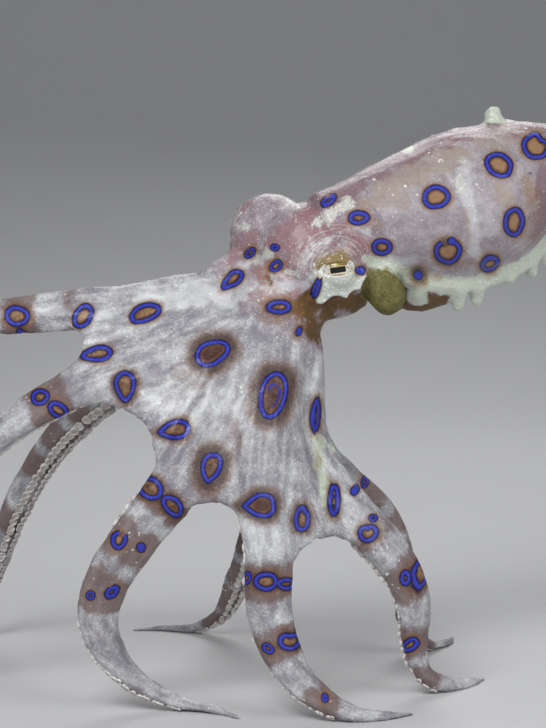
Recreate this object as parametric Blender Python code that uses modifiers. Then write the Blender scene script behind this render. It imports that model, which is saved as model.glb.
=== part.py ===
"""Life-size still model of a blue-ringed octopus standing on its arms.

The animal is modelled whole: swept limbs, the sheets of web between them, the head with its
two eye mounds, the funnel and the mantle are fused into one skin. The skin is then parted by
thin cuts into mantle, head, funnel, eyes, web sectors and three lengths of each arm.
Metres, +Z up, floor at z = 0. Left and right are the animal's own.
"""

import math

import bmesh
import bpy
import numpy as np
from mathutils import Matrix, Vector

MM = 0.001

# Driving dimensions, in millimetres until place() or MM turns them into metres.
MODEL_NAME = "blue_ringed_octopus"
STAND_CENTRE = Vector((-9.26, 15.46, 1.4))  # the floor point under the middle, in the layout
CUT = 0.3  # width of every parting cut
SKIN_GRAIN = 0.62  # voxel size at which the pieces fuse
SKIN_TRIANGLES = 5600
FLOOR_SNAP = 0.00005  # metres: corners this near the floor lie on it, so the flats are flat
NODE_RATIO = 0.7  # of each node's triangles kept, after the cuts have left many small ones
MERGE = 0.000002  # metres: closer points left by a cut are one
SOFTEN = (0.5, 4)  # strength and rounds of the smoothing after pieces fuse
SHARP_ANGLE = math.radians(50)
ROUTE_ROWS = 200  # rows of a route in which a place along it is looked up
GROUND_SIZE = (40.0, 300.0, 300.0)  # depth first

# Mantle: stations from the neck to the tip, each a centre and a radius.
MANTLE = [
    ((6.5, 0.5, 78.0), 7.0),
    ((12.0, 2.0, 79.2), 7.8),
    ((21.4, 6.0, 81.4), 10.2),
    ((28.3, 9.0, 82.4), 12.4),
    ((35.3, 12.0, 84.4), 12.6),
    ((41.5, 14.6, 87.2), 10.7),
    ((47.1, 17.0, 89.3), 8.6),
    ((52.4, 19.0, 91.4), 5.5),
    ((56.9, 21.0, 93.4), 0.6),
]
MANTLE_LEFT = Vector((0.44, -0.66, -0.61))  # towards the animal's left side
MANTLE_SIDES = 32
RIDGE_ANGLE = math.radians(125)  # from the back round to the side ridge
RIDGE_SPAN = (0.20, 0.97)  # along the mantle
RIDGE_RADIUS = 1.6
RIDGE_LIFT = 0.7  # of the ridge's middle above the mantle's skin
RIDGE_POINTS = 10
RIDGE_ROWS = 40
RIDGE_SIDES = 10
# The ridge's fingers: how far along the mantle each stands, and its length from the ridge's middle.
PAPILLAE = ((0.275, 4.2), (0.395, 5.8), (0.44, 5.1), (0.53, 3.2), (0.585, 4.7),
            (0.65, 4.8), (0.72, 5.2), (0.79, 4.1), (0.86, 4.6), (0.92, 3.6))
PAPILLA_LEAN = math.radians(40)  # beyond the ridge's own way out, so that the fingers hang
PAPILLA_RADII = (1.9, 1.15)
BACK_PAPILLAE = ((0.40, 18.0, 2.2), (0.66, -40.0, 4.1), (0.80, 20.0, 2.5))  # along, round, length
BACK_ROOT = 1.0
BACK_RADII = (1.9, 1.5)
PEG_ROUND = 0.7  # a peg's end rounds off from here along its length
PEG_ROWS = 9
PEG_SIDES = 12

# Head, crown and funnel: centres and half axes.
BRAIN_CASE = ((5.5, 1.5, 76.3), (8.2, 7.6, 7.6))
NEAR_MOUND = ((8.6, -0.6, 73.8), (7.2, 7.0, 7.0))
FAR_MOUND = ((-0.4, 6.4, 78.4), (7.0, 7.0, 7.0))
CROWN = ((0.6, 2.0, 66.4), (8.6, 8.6, 8.0))
THROAT = ((9.4, 3.5, 69.8), (7.6, 6.6, 5.6))
VENTRAL_BULGE = ((25.6, 9.8, 70.7), (7.5, 6.0, 5.5))
VENTRAL_TILT = math.radians(-14)
FUNNEL = ((18.7, -1.4, 69.2), (3.4, 3.2, 4.2))
FUNNEL_TILT = math.radians(-18)
FUNNEL_MARGIN = 0.7  # how far the funnel's cut stands off its lump
EYE_RADIUS = 3.2
EYE_MARGIN = 0.1
EYE_SEGMENTS = 16  # of the cutters that part an eye off
LEFT_EYE = Vector((10.5, -4.8, 72.8))
RIGHT_EYE = Vector((-3.6, 9.4, 80.2))
HEAD_CUT = ((7.5, 3.0, 74.0), (18.0, 15.5, 15.5))  # the round cut between head and limbs
HEAD_CUT_TILT = math.radians(-13)
MOUTH_CUT = ((0.0, 2.5, 58.0), (8.4, 8.4, 8.4))  # the ring of flesh round the mouth
NECK_CUT = ((15.0, 3.0, 80.2), (0.90, 0.38, 0.21))  # a point on the cut and its normal
NECK_BOX = (70.0, 46.0, 46.0)  # takes in the whole mantle

# Arms: route beyond the mouth to the tip, the way the outer face looks at root and tip,
# half width and half thickness at the root, and how late the arm tapers.
MOUTH = (0.5, 2.0, 66.0)  # every arm starts here, inside the crown
ARMS = {
    "arm_right_1": (
        [(-1.8, 3, 68.6), (-9.7, 2, 68.9), (-21.3, 1, 67.1), (-35.4, 0, 65.8), (-46, 1, 64.9),
         (-58, 4, 65), (-69, 9, 62), (-75.5, 12.5, 55), (-74, 11, 47.5), (-68, 8, 46)],
        (0.0, -0.5, 0.87), None, 4.6, 2.8, 1.5,
    ),
    "arm_left_1": (
        [(-2.5, 0, 65.7), (-11.2, -4, 62.1), (-20.1, -7, 58.6), (-28.3, -8, 55.7),
         (-36.5, -8, 51.6), (-45, -7, 46), (-51.5, -5, 38), (-55, -2, 27), (-57.5, 1, 15),
         (-61, 3, 5.2), (-67, 3, 2.0), (-73, 0.5, 1.2)],
        (-0.2, -0.7, 0.7), (0.1, 0.1, 1.0), 4.5, 2.7, 1.5,
    ),
    "arm_left_2": (
        [(-1.8, -3, 62.1), (-6.2, -9, 54.4), (-11.3, -13, 45.8), (-16.9, -15, 37.1),
         (-22, -16, 30.6), (-26.6, -16, 23.6), (-28.3, -15, 17), (-26.2, -13.5, 10.6),
         (-21.5, -12.5, 5.6), (-15, -13, 2.7), (-9, -15.5, 2.0), (-4.5, -20, 1.3)],
        (0.45, -0.88, 0.1), (0.1, -0.2, 1.0), 5.0, 2.8, 2.6,
    ),
    "arm_left_3": (
        [(0.8, -4, 60.5), (-0.2, -10, 52), (-1.3, -14, 43.5), (-1.4, -16, 34.8),
         (-0.6, -17, 27.7), (-0.8, -17, 21.4), (0.2, -17, 15), (3, -18, 9.2),
         (7.6, -19.5, 4.8), (13.4, -20.5, 2.5), (19, -19, 1.9), (23.5, -15.5, 1.2)],
        (0.42, -0.9, 0.1), (-0.1, -0.3, 1.0), 5.2, 2.8, 2.8,
    ),
    "arm_left_4": (
        [(4.2, 0, 60.2), (4.2, -3, 51.3), (5.8, -5, 43.2), (10.4, -6, 35.9), (16.8, -6, 29.2),
         (21.4, -5, 23), (23.6, -4, 17), (23.8, -3, 10.8), (25.2, -1.5, 5.4), (29.4, 1.5, 2.5),
         (34.2, 6, 1.9), (37, 11.5, 1.2)],
        (0.72, -0.68, 0.1), (0.1, -0.3, 1.0), 4.9, 2.8, 2.8,
    ),
    "arm_right_4": (
        [(5.1, 5, 58.9), (5.6, 10.5, 49.8), (7.4, 15.5, 41.9), (12.6, 20, 35.6),
         (19.2, 23, 29.3), (23, 25, 20.6), (23.8, 27, 12.6), (25, 30, 6), (28.6, 34, 2.6),
         (32.4, 39.5, 1.9), (33.6, 45.5, 1.2)],
        (0.85, 0.3, 0.4), (0.1, 0.1, 1.0), 4.7, 2.7, 2.4,
    ),
    "arm_right_3": (
        [(2.4, 7.5, 59.5), (4.6, 15, 52), (4.2, 23.5, 43.6), (1.6, 31, 34.4), (-2, 37, 24.6),
         (-5.5, 42, 14.6), (-9.4, 46.4, 6.2), (-15, 50.4, 2.4), (-21.6, 52.6, 1.8),
         (-28, 52.4, 1.2)],
        (0.2, 0.8, 0.5), (0.0, 0.1, 1.0), 4.8, 2.8, 2.2,
    ),
    "arm_right_2": (
        [(-2.2, 6.5, 64.2), (-9.5, 12.5, 61), (-19.5, 19.5, 56), (-30, 26.5, 49),
         (-40, 33, 39), (-47, 38.5, 27.4), (-51.4, 42.4, 15.4), (-55.4, 44.4, 6),
         (-61.4, 44.4, 2.2), (-68, 42, 1.6), (-73, 38, 1.1)],
        (-0.1, 0.5, 0.85), (0.0, 0.1, 1.0), 4.7, 2.8, 1.9,
    ),
}
ARM_TIP_RADIUS = 0.75
ARM_TAPER_POWER = 0.85
ARM_TIP_TURN = (0.5, 0.85)  # along the arm, where its outer face turns to the tip's way
ARM_RINGS = 70
ARM_LENGTH_CUTS = (0.44, 0.74)  # where the arm's three lengths part, along its route
ARM_LENGTH_NAMES = ("base", "middle", "tip")
SLAB_SIDE = 13.0

# The sleeves that take the arms out of the skin.
SLEEVE_RINGS = 21
SLEEVE_SIDES = 8
SLEEVE_SHARE = 0.4  # of the distance to the next arm, where webs are narrow
SLEEVE_LEAST = 1.5  # half width where the arms meet
SLEEVE_MARGIN = 0.7  # beyond the arm's half width, between the webs
SLEEVE_LOOSE = 2.0  # and this much more beyond the webs
SLEEVE_LOOSE_SPAN = (0.5, 0.7)
SLEEVE_DEPTH = 2.4  # beyond the arm's half thickness
SLEEVE_SQUARE = 0.45

# Webs: the two arms, how far out the web reaches in the middle and along the arms.
WEBS = {
    "web_dorsal": ("arm_right_1", "arm_left_1", 34.5, 43.5),
    "web_left_1": ("arm_left_1", "arm_left_2", 33.6, 43.6),
    "web_left_2": ("arm_left_2", "arm_left_3", 38.0, 46.0),
    "web_left_3": ("arm_left_3", "arm_left_4", 42.8, 50.8),
    "web_ventral": ("arm_left_4", "arm_right_4", 36.0, 44.0),
    "web_right_3": ("arm_right_4", "arm_right_3", 36.0, 44.0),
    "web_right_2": ("arm_right_3", "arm_right_2", 34.0, 42.0),
    "web_right_1": ("arm_right_2", "arm_right_1", 31.0, 39.0),
}
WEB_THICKNESS = 1.5
WEB_GRID = (24, 28)
WEB_LIFT = 0.3  # of an arm's half thickness, from its middle out to where the web joins
WEB_ARCH_POWER = 2.2  # higher keeps the free edge level for longer between the arms
WEB_BOW = 1.5  # how far a web stands out between its arms
WEB_BOW_SPREAD = 0.7  # lower carries the bow nearer the root and the free edge
WEB_BOW_ROW = 0.25  # where along the arms the way out is measured
WEB_BOW_FROM = Vector((-6.0, 6.0, 40.0))  # inside the tent that the webs make
WEB_MIDDLE = 0.7  # of a web's reach, to its middle
BLADE_DEPTH = 9.0  # of the cut that frees the webs on either side of an arm
BLADE_SIDES = 4

# Materials: colour, roughness.
MATERIALS = {
    "skin_pale": ((0.62, 0.58, 0.62, 1.0), 0.42),
    "skin_mantle": ((0.60, 0.53, 0.58, 1.0), 0.42),
    "skin_olive": ((0.42, 0.36, 0.22, 1.0), 0.45),
    "skin_web": ((0.58, 0.55, 0.58, 1.0), 0.45),
    "eye_gold": ((0.55, 0.42, 0.18, 1.0), 0.12),
}


def place(point):
    """A layout point in millimetres as a place in metres."""
    return (Vector(point) - STAND_CENTRE) * MM


def ease(low, high, value):
    """0 below low, 1 above high, and a smooth rise between."""
    t = min(max((value - low) / (high - low), 0.0), 1.0)
    return t * t * (3.0 - 2.0 * t)


def smooth_route(points, count, steps=24):
    """Rows of an even walk along a Catmull-Rom curve through the points."""
    knots = np.array(points, dtype=float)
    knots = np.vstack([2 * knots[0] - knots[1], knots, 2 * knots[-1] - knots[-2]])
    walked = []
    for i in range(1, len(knots) - 2):
        a, b, c, d = knots[i - 1:i + 3]
        for t in np.arange(steps) / steps:
            walked.append(0.5 * (2 * b + (c - a) * t + (2 * a - 5 * b + 4 * c - d) * t * t
                                 + (3 * b - a - 3 * c + d) * t ** 3))
    walked.append(knots[-2])
    walked = np.array(walked)
    run = np.concatenate([[0.0], np.cumsum(np.linalg.norm(np.diff(walked, axis=0), axis=1))])
    even = np.linspace(0.0, run[-1], count)
    return np.column_stack([np.interp(even, run, walked[:, k]) for k in range(walked.shape[1])])


def route_length(rows):
    return float(np.linalg.norm(np.diff(rows[:, :3], axis=0), axis=1).sum())


def frames(rows, root, tip=None):
    """Centre, side and outward vectors for each row of a route.

    The outward vector is carried along from the root, and turned to the tip's where one is given.
    """
    tangents = np.gradient(rows, axis=0)
    carried = Vector(root)
    found = []
    for i, (row, tangent) in enumerate(zip(rows, tangents)):
        along = Vector(tangent).normalized()
        carried = (carried - along * carried.dot(along)).normalized()
        out = carried
        if tip is not None:
            out = carried.lerp(Vector(tip), ease(*ARM_TIP_TURN, i / (len(rows) - 1)))
        side = along.cross(out).normalized()
        found.append((Vector(row), side, side.cross(along).normalized()))
    return found


def in_collection(name):
    collection = bpy.data.collections.get(name)
    if collection is None:
        collection = bpy.data.collections.new(name)
        bpy.context.scene.collection.children.link(collection)
    return collection


def face_outward(bm):
    bmesh.ops.recalc_face_normals(bm, faces=bm.faces)
    if bm.calc_volume(signed=True) < 0:
        bmesh.ops.reverse_faces(bm, faces=bm.faces)


def object_of(bm, name, collection="cutters"):
    mesh = bpy.data.meshes.new(name)
    bm.to_mesh(mesh)
    bm.free()
    made = bpy.data.objects.new(name, mesh)
    in_collection(collection).objects.link(made)
    if collection == "cutters":
        made.hide_render = True
        made.display_type = "WIRE"
    return made


def sweep(name, rows, outward, width, thick, sides=20, flat=1.0, tip=None):
    """A sphere drawn out along a route; width and thick give its half axes, in millimetres.

    A flat below 1 squares the section off, for cutters that have to clear a round limb.
    """
    bm = bmesh.new()
    bmesh.ops.create_uvsphere(bm, u_segments=sides, v_segments=len(rows) - 1, radius=1.0)
    stations = frames(rows, outward, tip)
    for vert in bm.verts:
        turn = math.acos(max(-1.0, min(1.0, vert.co.z))) / math.pi
        index = round(turn * (len(rows) - 1))
        centre, side, out = stations[index]
        across = Vector((vert.co.x, vert.co.y, 0.0))
        if across.length > 1e-5:
            across.normalize()
        else:
            across.zero()
        x = math.copysign(abs(across.x) ** flat, across.x)
        y = math.copysign(abs(across.y) ** flat, across.y)
        t = index / (len(rows) - 1)
        vert.co = place(centre + side * (x * width(t)) + out * (y * thick(t)))
    face_outward(bm)
    return object_of(bm, name)


def ellipsoid(name, centre, half_axes, tilt=0.0, segments=20, grow=0.0):
    """A squashed sphere; tilt turns it about the layout's Y."""
    bm = bmesh.new()
    bmesh.ops.create_uvsphere(bm, u_segments=segments, v_segments=segments // 2, radius=1.0)
    turn = Matrix.Rotation(tilt, 3, "Y")
    for vert in bm.verts:
        scaled = Vector([(axis + grow) * value for axis, value in zip(half_axes, vert.co)])
        vert.co = place(Vector(centre) + turn @ scaled)
    face_outward(bm)
    return object_of(bm, name)


def cone_between(name, start, end, start_radius, end_radius):
    """A rounded peg from start to end."""
    rows = smooth_route([start, end], PEG_ROWS)
    aim = Vector(end) - Vector(start)
    steady = Vector((0, 0, 1)) if abs(aim.normalized().z) < 0.8 else Vector((1, 0, 0))

    def radius(t):
        beyond = max(0.0, (t - PEG_ROUND) / (1.0 - PEG_ROUND))
        cap = math.sqrt(max(0.0, 1.0 - beyond ** 2))
        return (start_radius + (end_radius - start_radius) * t) * cap

    return sweep(name, rows, steady, radius, radius, sides=PEG_SIDES)


def block(name, centre, size, axis):
    """A box centred on a layout point with its first side along the axis."""
    bm = bmesh.new()
    bmesh.ops.create_cube(bm, size=1.0)
    turn = Vector(axis).to_track_quat("X", "Z").to_matrix()
    for vert in bm.verts:
        vert.co = place(Vector(centre) + turn @ Vector([s * c for s, c in zip(size, vert.co)]))
    return object_of(bm, name)


# The arms' own shape


def arm_rows(arm, count=ARM_RINGS):
    return smooth_route([MOUTH] + ARMS[arm][0], count)


def arm_taper(arm, root_size):
    late = ARMS[arm][5]
    return lambda t: max(ARM_TIP_RADIUS, root_size * (1.0 - t ** late) ** ARM_TAPER_POWER)


def arm_body(arm):
    _, root, tip, half_width, half_thick, _ = ARMS[arm]
    return sweep(arm, arm_rows(arm), root, arm_taper(arm, half_width),
                 arm_taper(arm, half_thick), tip=tip)


def web_body(web):
    """The sheet between two arms, its free edge an arch that runs out along both."""
    first, second, reach_middle, reach_arms = WEBS[web]
    sheets = []
    for arm in (first, second):
        rows = arm_rows(arm, ROUTE_ROWS)
        lift = ARMS[arm][4] * WEB_LIFT
        places = [centre + out * lift for centre, _, out in frames(rows, *ARMS[arm][1:3])]
        sheets.append((places, route_length(rows)))
    bm = bmesh.new()
    bmesh.ops.create_grid(bm, x_segments=WEB_GRID[0], y_segments=WEB_GRID[1], size=0.5)
    row = round(WEB_BOW_ROW * ROUTE_ROWS)
    middle = sheets[0][0][row].lerp(sheets[1][0][row], 0.5)
    bow = (middle - WEB_BOW_FROM).normalized() * WEB_BOW
    for vert in bm.verts:
        across, along = vert.co.x + 0.5, vert.co.y + 0.5
        arch = abs(2.0 * across - 1.0) ** WEB_ARCH_POWER
        reach = along * (reach_middle + (reach_arms - reach_middle) * arch)
        ends = []
        for places, length in sheets:
            ends.append(places[min(len(places) - 1, round(reach / length * (len(places) - 1)))])
        spread = math.sin(math.pi * min(1.0, along)) ** WEB_BOW_SPREAD
        swell = math.sin(math.pi * across) * spread
        vert.co = place(ends[0].lerp(ends[1], across) + bow * swell)
    sheet = object_of(bm, web)
    solid = sheet.modifiers.new("thickness", "SOLIDIFY")
    solid.thickness = WEB_THICKNESS * MM
    solid.offset = 0.0
    return applied(sheet)


# The mantle's own shape


def mantle_rows(count=48):
    return smooth_route([(*centre, radius) for centre, radius in MANTLE], count)


def mantle_place(along, round_angle, lift=0.0):
    """A point on the mantle, by how far along it is and its angle from the back."""
    rows = mantle_rows(ROUTE_ROWS)
    last = ROUTE_ROWS - 1
    index = round(along * last)
    centre = Vector(rows[index][:3])
    tangent = Vector(rows[min(last, index + 2)][:3]) - Vector(rows[max(0, index - 2)][:3])
    back = MANTLE_LEFT.cross(tangent).normalized()
    if back.z < 0:
        back = -back
    left = tangent.cross(back).normalized()
    if left.dot(MANTLE_LEFT) < 0:
        left = -left
    out = back * math.cos(round_angle) + left * math.sin(round_angle)
    return centre + out * (rows[index][3] + lift), out


def mantle_bodies():
    rows = mantle_rows()

    def radius(t):
        return rows[round(t * (len(rows) - 1))][3]

    bodies = [sweep("mantle_sack", rows[:, :3], MANTLE_LEFT, radius, radius,
                    sides=MANTLE_SIDES)]
    bodies.append(ellipsoid("ventral_bulge", *VENTRAL_BULGE, tilt=VENTRAL_TILT))
    low, high = RIDGE_SPAN
    for side in (1, -1):
        angle = side * RIDGE_ANGLE
        path = []
        for along in np.linspace(low, high, RIDGE_POINTS):
            path.append(tuple(mantle_place(along, angle, lift=RIDGE_LIFT)[0]))
        bodies.append(sweep("ridge", smooth_route(path, RIDGE_ROWS), (0, 0, 1),
                            lambda t: RIDGE_RADIUS, lambda t: RIDGE_RADIUS, sides=RIDGE_SIDES))
        for along, length in PAPILLAE:
            root = mantle_place(along, angle, lift=RIDGE_LIFT)[0]
            hang = mantle_place(along, side * (RIDGE_ANGLE + PAPILLA_LEAN))[1]
            bodies.append(cone_between("papilla", root, root + hang * length, *PAPILLA_RADII))
    for along, degrees, length in BACK_PAPILLAE:
        root, out = mantle_place(along, math.radians(degrees), lift=-BACK_ROOT)
        bodies.append(cone_between("papilla", root, root + out * length, *BACK_RADII))
    return bodies


def head_bodies():
    bodies = [
        ellipsoid("brain_case", *BRAIN_CASE),
        ellipsoid("near_mound", *NEAR_MOUND),
        ellipsoid("far_mound", *FAR_MOUND),
        ellipsoid("crown", *CROWN),
        ellipsoid("throat", *THROAT),
        ellipsoid("funnel_lump", *FUNNEL, tilt=FUNNEL_TILT),
    ]
    bodies.append(ellipsoid("left_eyeball", LEFT_EYE, (EYE_RADIUS,) * 3))
    bodies.append(ellipsoid("right_eyeball", RIGHT_EYE, (EYE_RADIUS,) * 3))
    return bodies


# Joining and parting


def applied(made):
    """The object with its modifiers made real."""
    graph = bpy.context.evaluated_depsgraph_get()
    mesh = bpy.data.meshes.new_from_object(made.evaluated_get(graph))
    made.modifiers.clear()
    made.data = mesh
    return made


def fuse(bodies):
    """One smooth closed skin round all the bodies."""
    whole = bmesh.new()
    for body in bodies:
        whole.from_mesh(body.data)
        bpy.data.objects.remove(body)
    skin = object_of(whole, "skin")
    remesh = skin.modifiers.new("fuse", "REMESH")
    remesh.mode = "VOXEL"
    remesh.voxel_size = SKIN_GRAIN * MM
    smooth = skin.modifiers.new("soften", "SMOOTH")
    smooth.factor, smooth.iterations = SOFTEN
    applied(skin)
    triangles = sum(len(face.vertices) - 2 for face in skin.data.polygons)
    return lighten(skin, SKIN_TRIANGLES / triangles)


def lighten(body, ratio):
    """Drops the share of triangles that shape it least."""
    thin = body.modifiers.new("lighten", "DECIMATE")
    thin.ratio = ratio
    return applied(body)


def cut(body, cutter, operation, name):
    """A new object: the body, less or within the cutter."""
    made = bpy.data.objects.new(name, body.data.copy())
    in_collection("cutters").objects.link(made)
    made.hide_render = True
    boolean = made.modifiers.new("cut", "BOOLEAN")
    boolean.operation = operation
    boolean.object = cutter
    boolean.solver = "EXACT"
    applied(made)
    bm = bmesh.new()
    bm.from_mesh(made.data)
    bmesh.ops.remove_doubles(bm, verts=bm.verts, dist=MERGE)
    bmesh.ops.dissolve_degenerate(bm, edges=bm.edges, dist=MERGE)
    bmesh.ops.triangulate(bm, faces=bm.faces)
    bm.to_mesh(made.data)
    bm.free()
    return made


def islands(body):
    """The body's separate closed pieces as bmeshes, largest first."""
    bm = bmesh.new()
    bm.from_mesh(body.data)
    waiting = set(bm.verts)
    pieces = []
    while waiting:
        found = {waiting.pop()}
        edge = list(found)
        while edge:
            vert = edge.pop()
            for link in vert.link_edges:
                other = link.other_vert(vert)
                if other in waiting:
                    waiting.discard(other)
                    found.add(other)
                    edge.append(other)
        indices = {vert.index for vert in found}
        piece = bm.copy()
        piece.verts.ensure_lookup_table()
        spare = [vert for vert in piece.verts if vert.index not in indices]
        bmesh.ops.delete(piece, geom=spare, context="VERTS")
        pieces.append(piece)
    bm.free()
    return sorted(pieces, key=lambda piece: -abs(piece.calc_volume()))


def keep_largest(body):
    pieces = islands(body)
    pieces[0].to_mesh(body.data)
    for piece in pieces:
        piece.free()
    return body


def centre_of(piece):
    return sum((vert.co for vert in piece.verts), Vector()) / len(piece.verts)


def part_off(rest, inner, outer, name):
    """Takes what lies in the inner cutter as a node and leaves the rest clear of the outer."""
    taken = keep_largest(cut(rest, inner, "INTERSECT", name))
    left = cut(rest, outer, "DIFFERENCE", "rest")
    bpy.data.objects.remove(rest)
    bpy.data.objects.remove(inner)
    bpy.data.objects.remove(outer)
    return taken, left


def finish_node(node, name, material):
    node.name = name
    node.data.name = name
    for collection in list(node.users_collection):
        collection.objects.unlink(node)
    in_collection(MODEL_NAME).objects.link(node)
    node.hide_render = False
    node.display_type = "TEXTURED"
    lighten(node, NODE_RATIO)
    for vert in node.data.vertices:
        if abs(vert.co.z) < FLOOR_SNAP:
            vert.co.z = 0.0
    node.data.materials.clear()
    node.data.materials.append(material)
    node.data.shade_smooth()
    node.data.set_sharp_from_angle(angle=SHARP_ANGLE)


def principled(name):
    colour, roughness = MATERIALS[name]
    material = bpy.data.materials.new(name)
    material.use_nodes = True
    shader = material.node_tree.nodes["Principled BSDF"]
    shader.inputs["Base Color"].default_value = colour
    shader.inputs["Roughness"].default_value = roughness
    shader.inputs["Metallic"].default_value = 0.0
    return material


def sleeve(arm, grow):
    """A squared sleeve round an arm, kept clear of its neighbours' sleeves."""
    route = ARMS[arm][0]
    beyond = Vector(route[-1]) * 1.5 - Vector(route[-2]) * 0.5
    rows = smooth_route([MOUTH, *route, tuple(beyond)], SLEEVE_RINGS)
    others = np.vstack([arm_rows(name) for name in ARMS if name != arm])
    room = [np.linalg.norm(others - row, axis=1).min() * SLEEVE_SHARE for row in rows]
    half_width, half_thick = ARMS[arm][3], ARMS[arm][4]
    width_of, thick_of = arm_taper(arm, half_width), arm_taper(arm, half_thick)

    def width(t):
        free = room[round(t * (len(rows) - 1))]
        loose = SLEEVE_MARGIN + SLEEVE_LOOSE * ease(*SLEEVE_LOOSE_SPAN, t)
        return min(width_of(t) + loose, max(SLEEVE_LEAST, free)) + grow

    return sweep("sleeve", rows, ARMS[arm][1], width, lambda t: thick_of(t) + SLEEVE_DEPTH + grow,
                 sides=SLEEVE_SIDES, flat=SLEEVE_SQUARE, tip=ARMS[arm][2])


def part_webs(rest):
    """Splits what is left of the limbs' skin along every arm, so that each web comes loose."""
    for arm in ARMS:
        blade = sweep("blade", arm_rows(arm, SLEEVE_RINGS), ARMS[arm][1], lambda t: CUT / 2,
                      lambda t: BLADE_DEPTH, sides=BLADE_SIDES)
        split = cut(rest, blade, "DIFFERENCE", "rest")
        bpy.data.objects.remove(rest)
        bpy.data.objects.remove(blade)
        rest = split
    return rest


def arm_lengths(body, arm, material):
    """Parts an arm's body across its route into named lengths."""
    rows = arm_rows(arm, ROUTE_ROWS)
    for share in ARM_LENGTH_CUTS:
        index = round(share * (ROUTE_ROWS - 1))
        aim = Vector(rows[index + 1]) - Vector(rows[index - 1])
        slab = block("slab", rows[index], (CUT, SLAB_SIDE, SLAB_SIDE), aim)
        parted = cut(body, slab, "DIFFERENCE", "parted")
        bpy.data.objects.remove(body)
        bpy.data.objects.remove(slab)
        body = parted
    pieces = islands(body)[:len(ARM_LENGTH_NAMES)]
    bpy.data.objects.remove(body)

    def how_far(piece):
        middle = centre_of(piece)
        return min(range(ROUTE_ROWS), key=lambda i: (place(rows[i]) - middle).length)

    for piece, length in zip(sorted(pieces, key=how_far), ARM_LENGTH_NAMES):
        name = f"{arm}_{length}"
        finish_node(object_of(piece, name), name, material)


def nearest_web(piece):
    """The web whose middle the piece lies nearest."""
    middle = centre_of(piece)

    def distance(web):
        first, second, reach, _ = WEBS[web]
        ends = []
        for arm in (first, second):
            rows = arm_rows(arm, ROUTE_ROWS)
            share = WEB_MIDDLE * reach / route_length(rows)
            ends.append(Vector(rows[round(share * (ROUTE_ROWS - 1))]))
        return (place(ends[0].lerp(ends[1], 0.5)) - middle).length

    return min(WEBS, key=distance)


def build():
    for old in list(bpy.data.objects):
        bpy.data.objects.remove(old)
    materials = {name: principled(name) for name in MATERIALS}

    bodies = head_bodies() + mantle_bodies()
    bodies += [arm_body(arm) for arm in ARMS]
    bodies += [web_body(web) for web in WEBS]
    whole = fuse(bodies)

    under = STAND_CENTRE - Vector((0.0, 0.0, GROUND_SIZE[0] / 2))
    ground = block("ground", under, GROUND_SIZE, (0, 0, 1))
    rest = keep_largest(cut(whole, ground, "DIFFERENCE", "rest"))
    bpy.data.objects.remove(whole)
    bpy.data.objects.remove(ground)

    for name, centre in (("eye_left", LEFT_EYE), ("eye_right", RIGHT_EYE)):
        size = (EYE_RADIUS,) * 3
        ball = ellipsoid("ball", centre, size, segments=EYE_SEGMENTS, grow=EYE_MARGIN)
        socket = ellipsoid("socket", centre, size, segments=EYE_SEGMENTS, grow=EYE_MARGIN + CUT)
        eye, rest = part_off(rest, ball, socket, name)
        finish_node(eye, name, materials["eye_gold"])

    lump = ellipsoid("lump", *FUNNEL, tilt=FUNNEL_TILT, grow=FUNNEL_MARGIN)
    hole = ellipsoid("hole", *FUNNEL, tilt=FUNNEL_TILT, grow=FUNNEL_MARGIN + CUT)
    funnel, rest = part_off(rest, lump, hole, "funnel")
    finish_node(funnel, "funnel", materials["skin_olive"])

    neck, aim = Vector(NECK_CUT[0]), Vector(NECK_CUT[1]).normalized()
    half = NECK_BOX[0] / 2
    mantle, rest = part_off(rest, block("far", neck + aim * (half + CUT), NECK_BOX, aim),
                            block("near", neck + aim * half, NECK_BOX, aim), "mantle")
    finish_node(mantle, "mantle", materials["skin_mantle"])

    head, rest = part_off(rest, ellipsoid("core", *HEAD_CUT, tilt=HEAD_CUT_TILT),
                          ellipsoid("shell", *HEAD_CUT, tilt=HEAD_CUT_TILT, grow=CUT), "head")
    finish_node(head, "head", materials["skin_mantle"])

    mouth, rest = part_off(rest, ellipsoid("core", *MOUTH_CUT),
                           ellipsoid("shell", *MOUTH_CUT, grow=CUT), "mouth_ring")
    finish_node(mouth, "mouth_ring", materials["skin_pale"])

    for arm in ARMS:
        body, rest = part_off(rest, sleeve(arm, 0.0), sleeve(arm, CUT), arm)
        arm_lengths(body, arm, materials["skin_pale"])

    rest = part_webs(rest)
    waiting = set(WEBS)
    for piece in islands(rest):
        name = nearest_web(piece)
        if name in waiting:
            finish_node(object_of(piece, name), name, materials["skin_web"])
            waiting.discard(name)
    bpy.data.objects.remove(rest)


build()
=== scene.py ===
import math
import random

import bmesh
import bpy
import numpy as np
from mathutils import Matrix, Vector, noise
from mathutils.bvhtree import BVHTree
from mathutils.kdtree import KDTree


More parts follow.
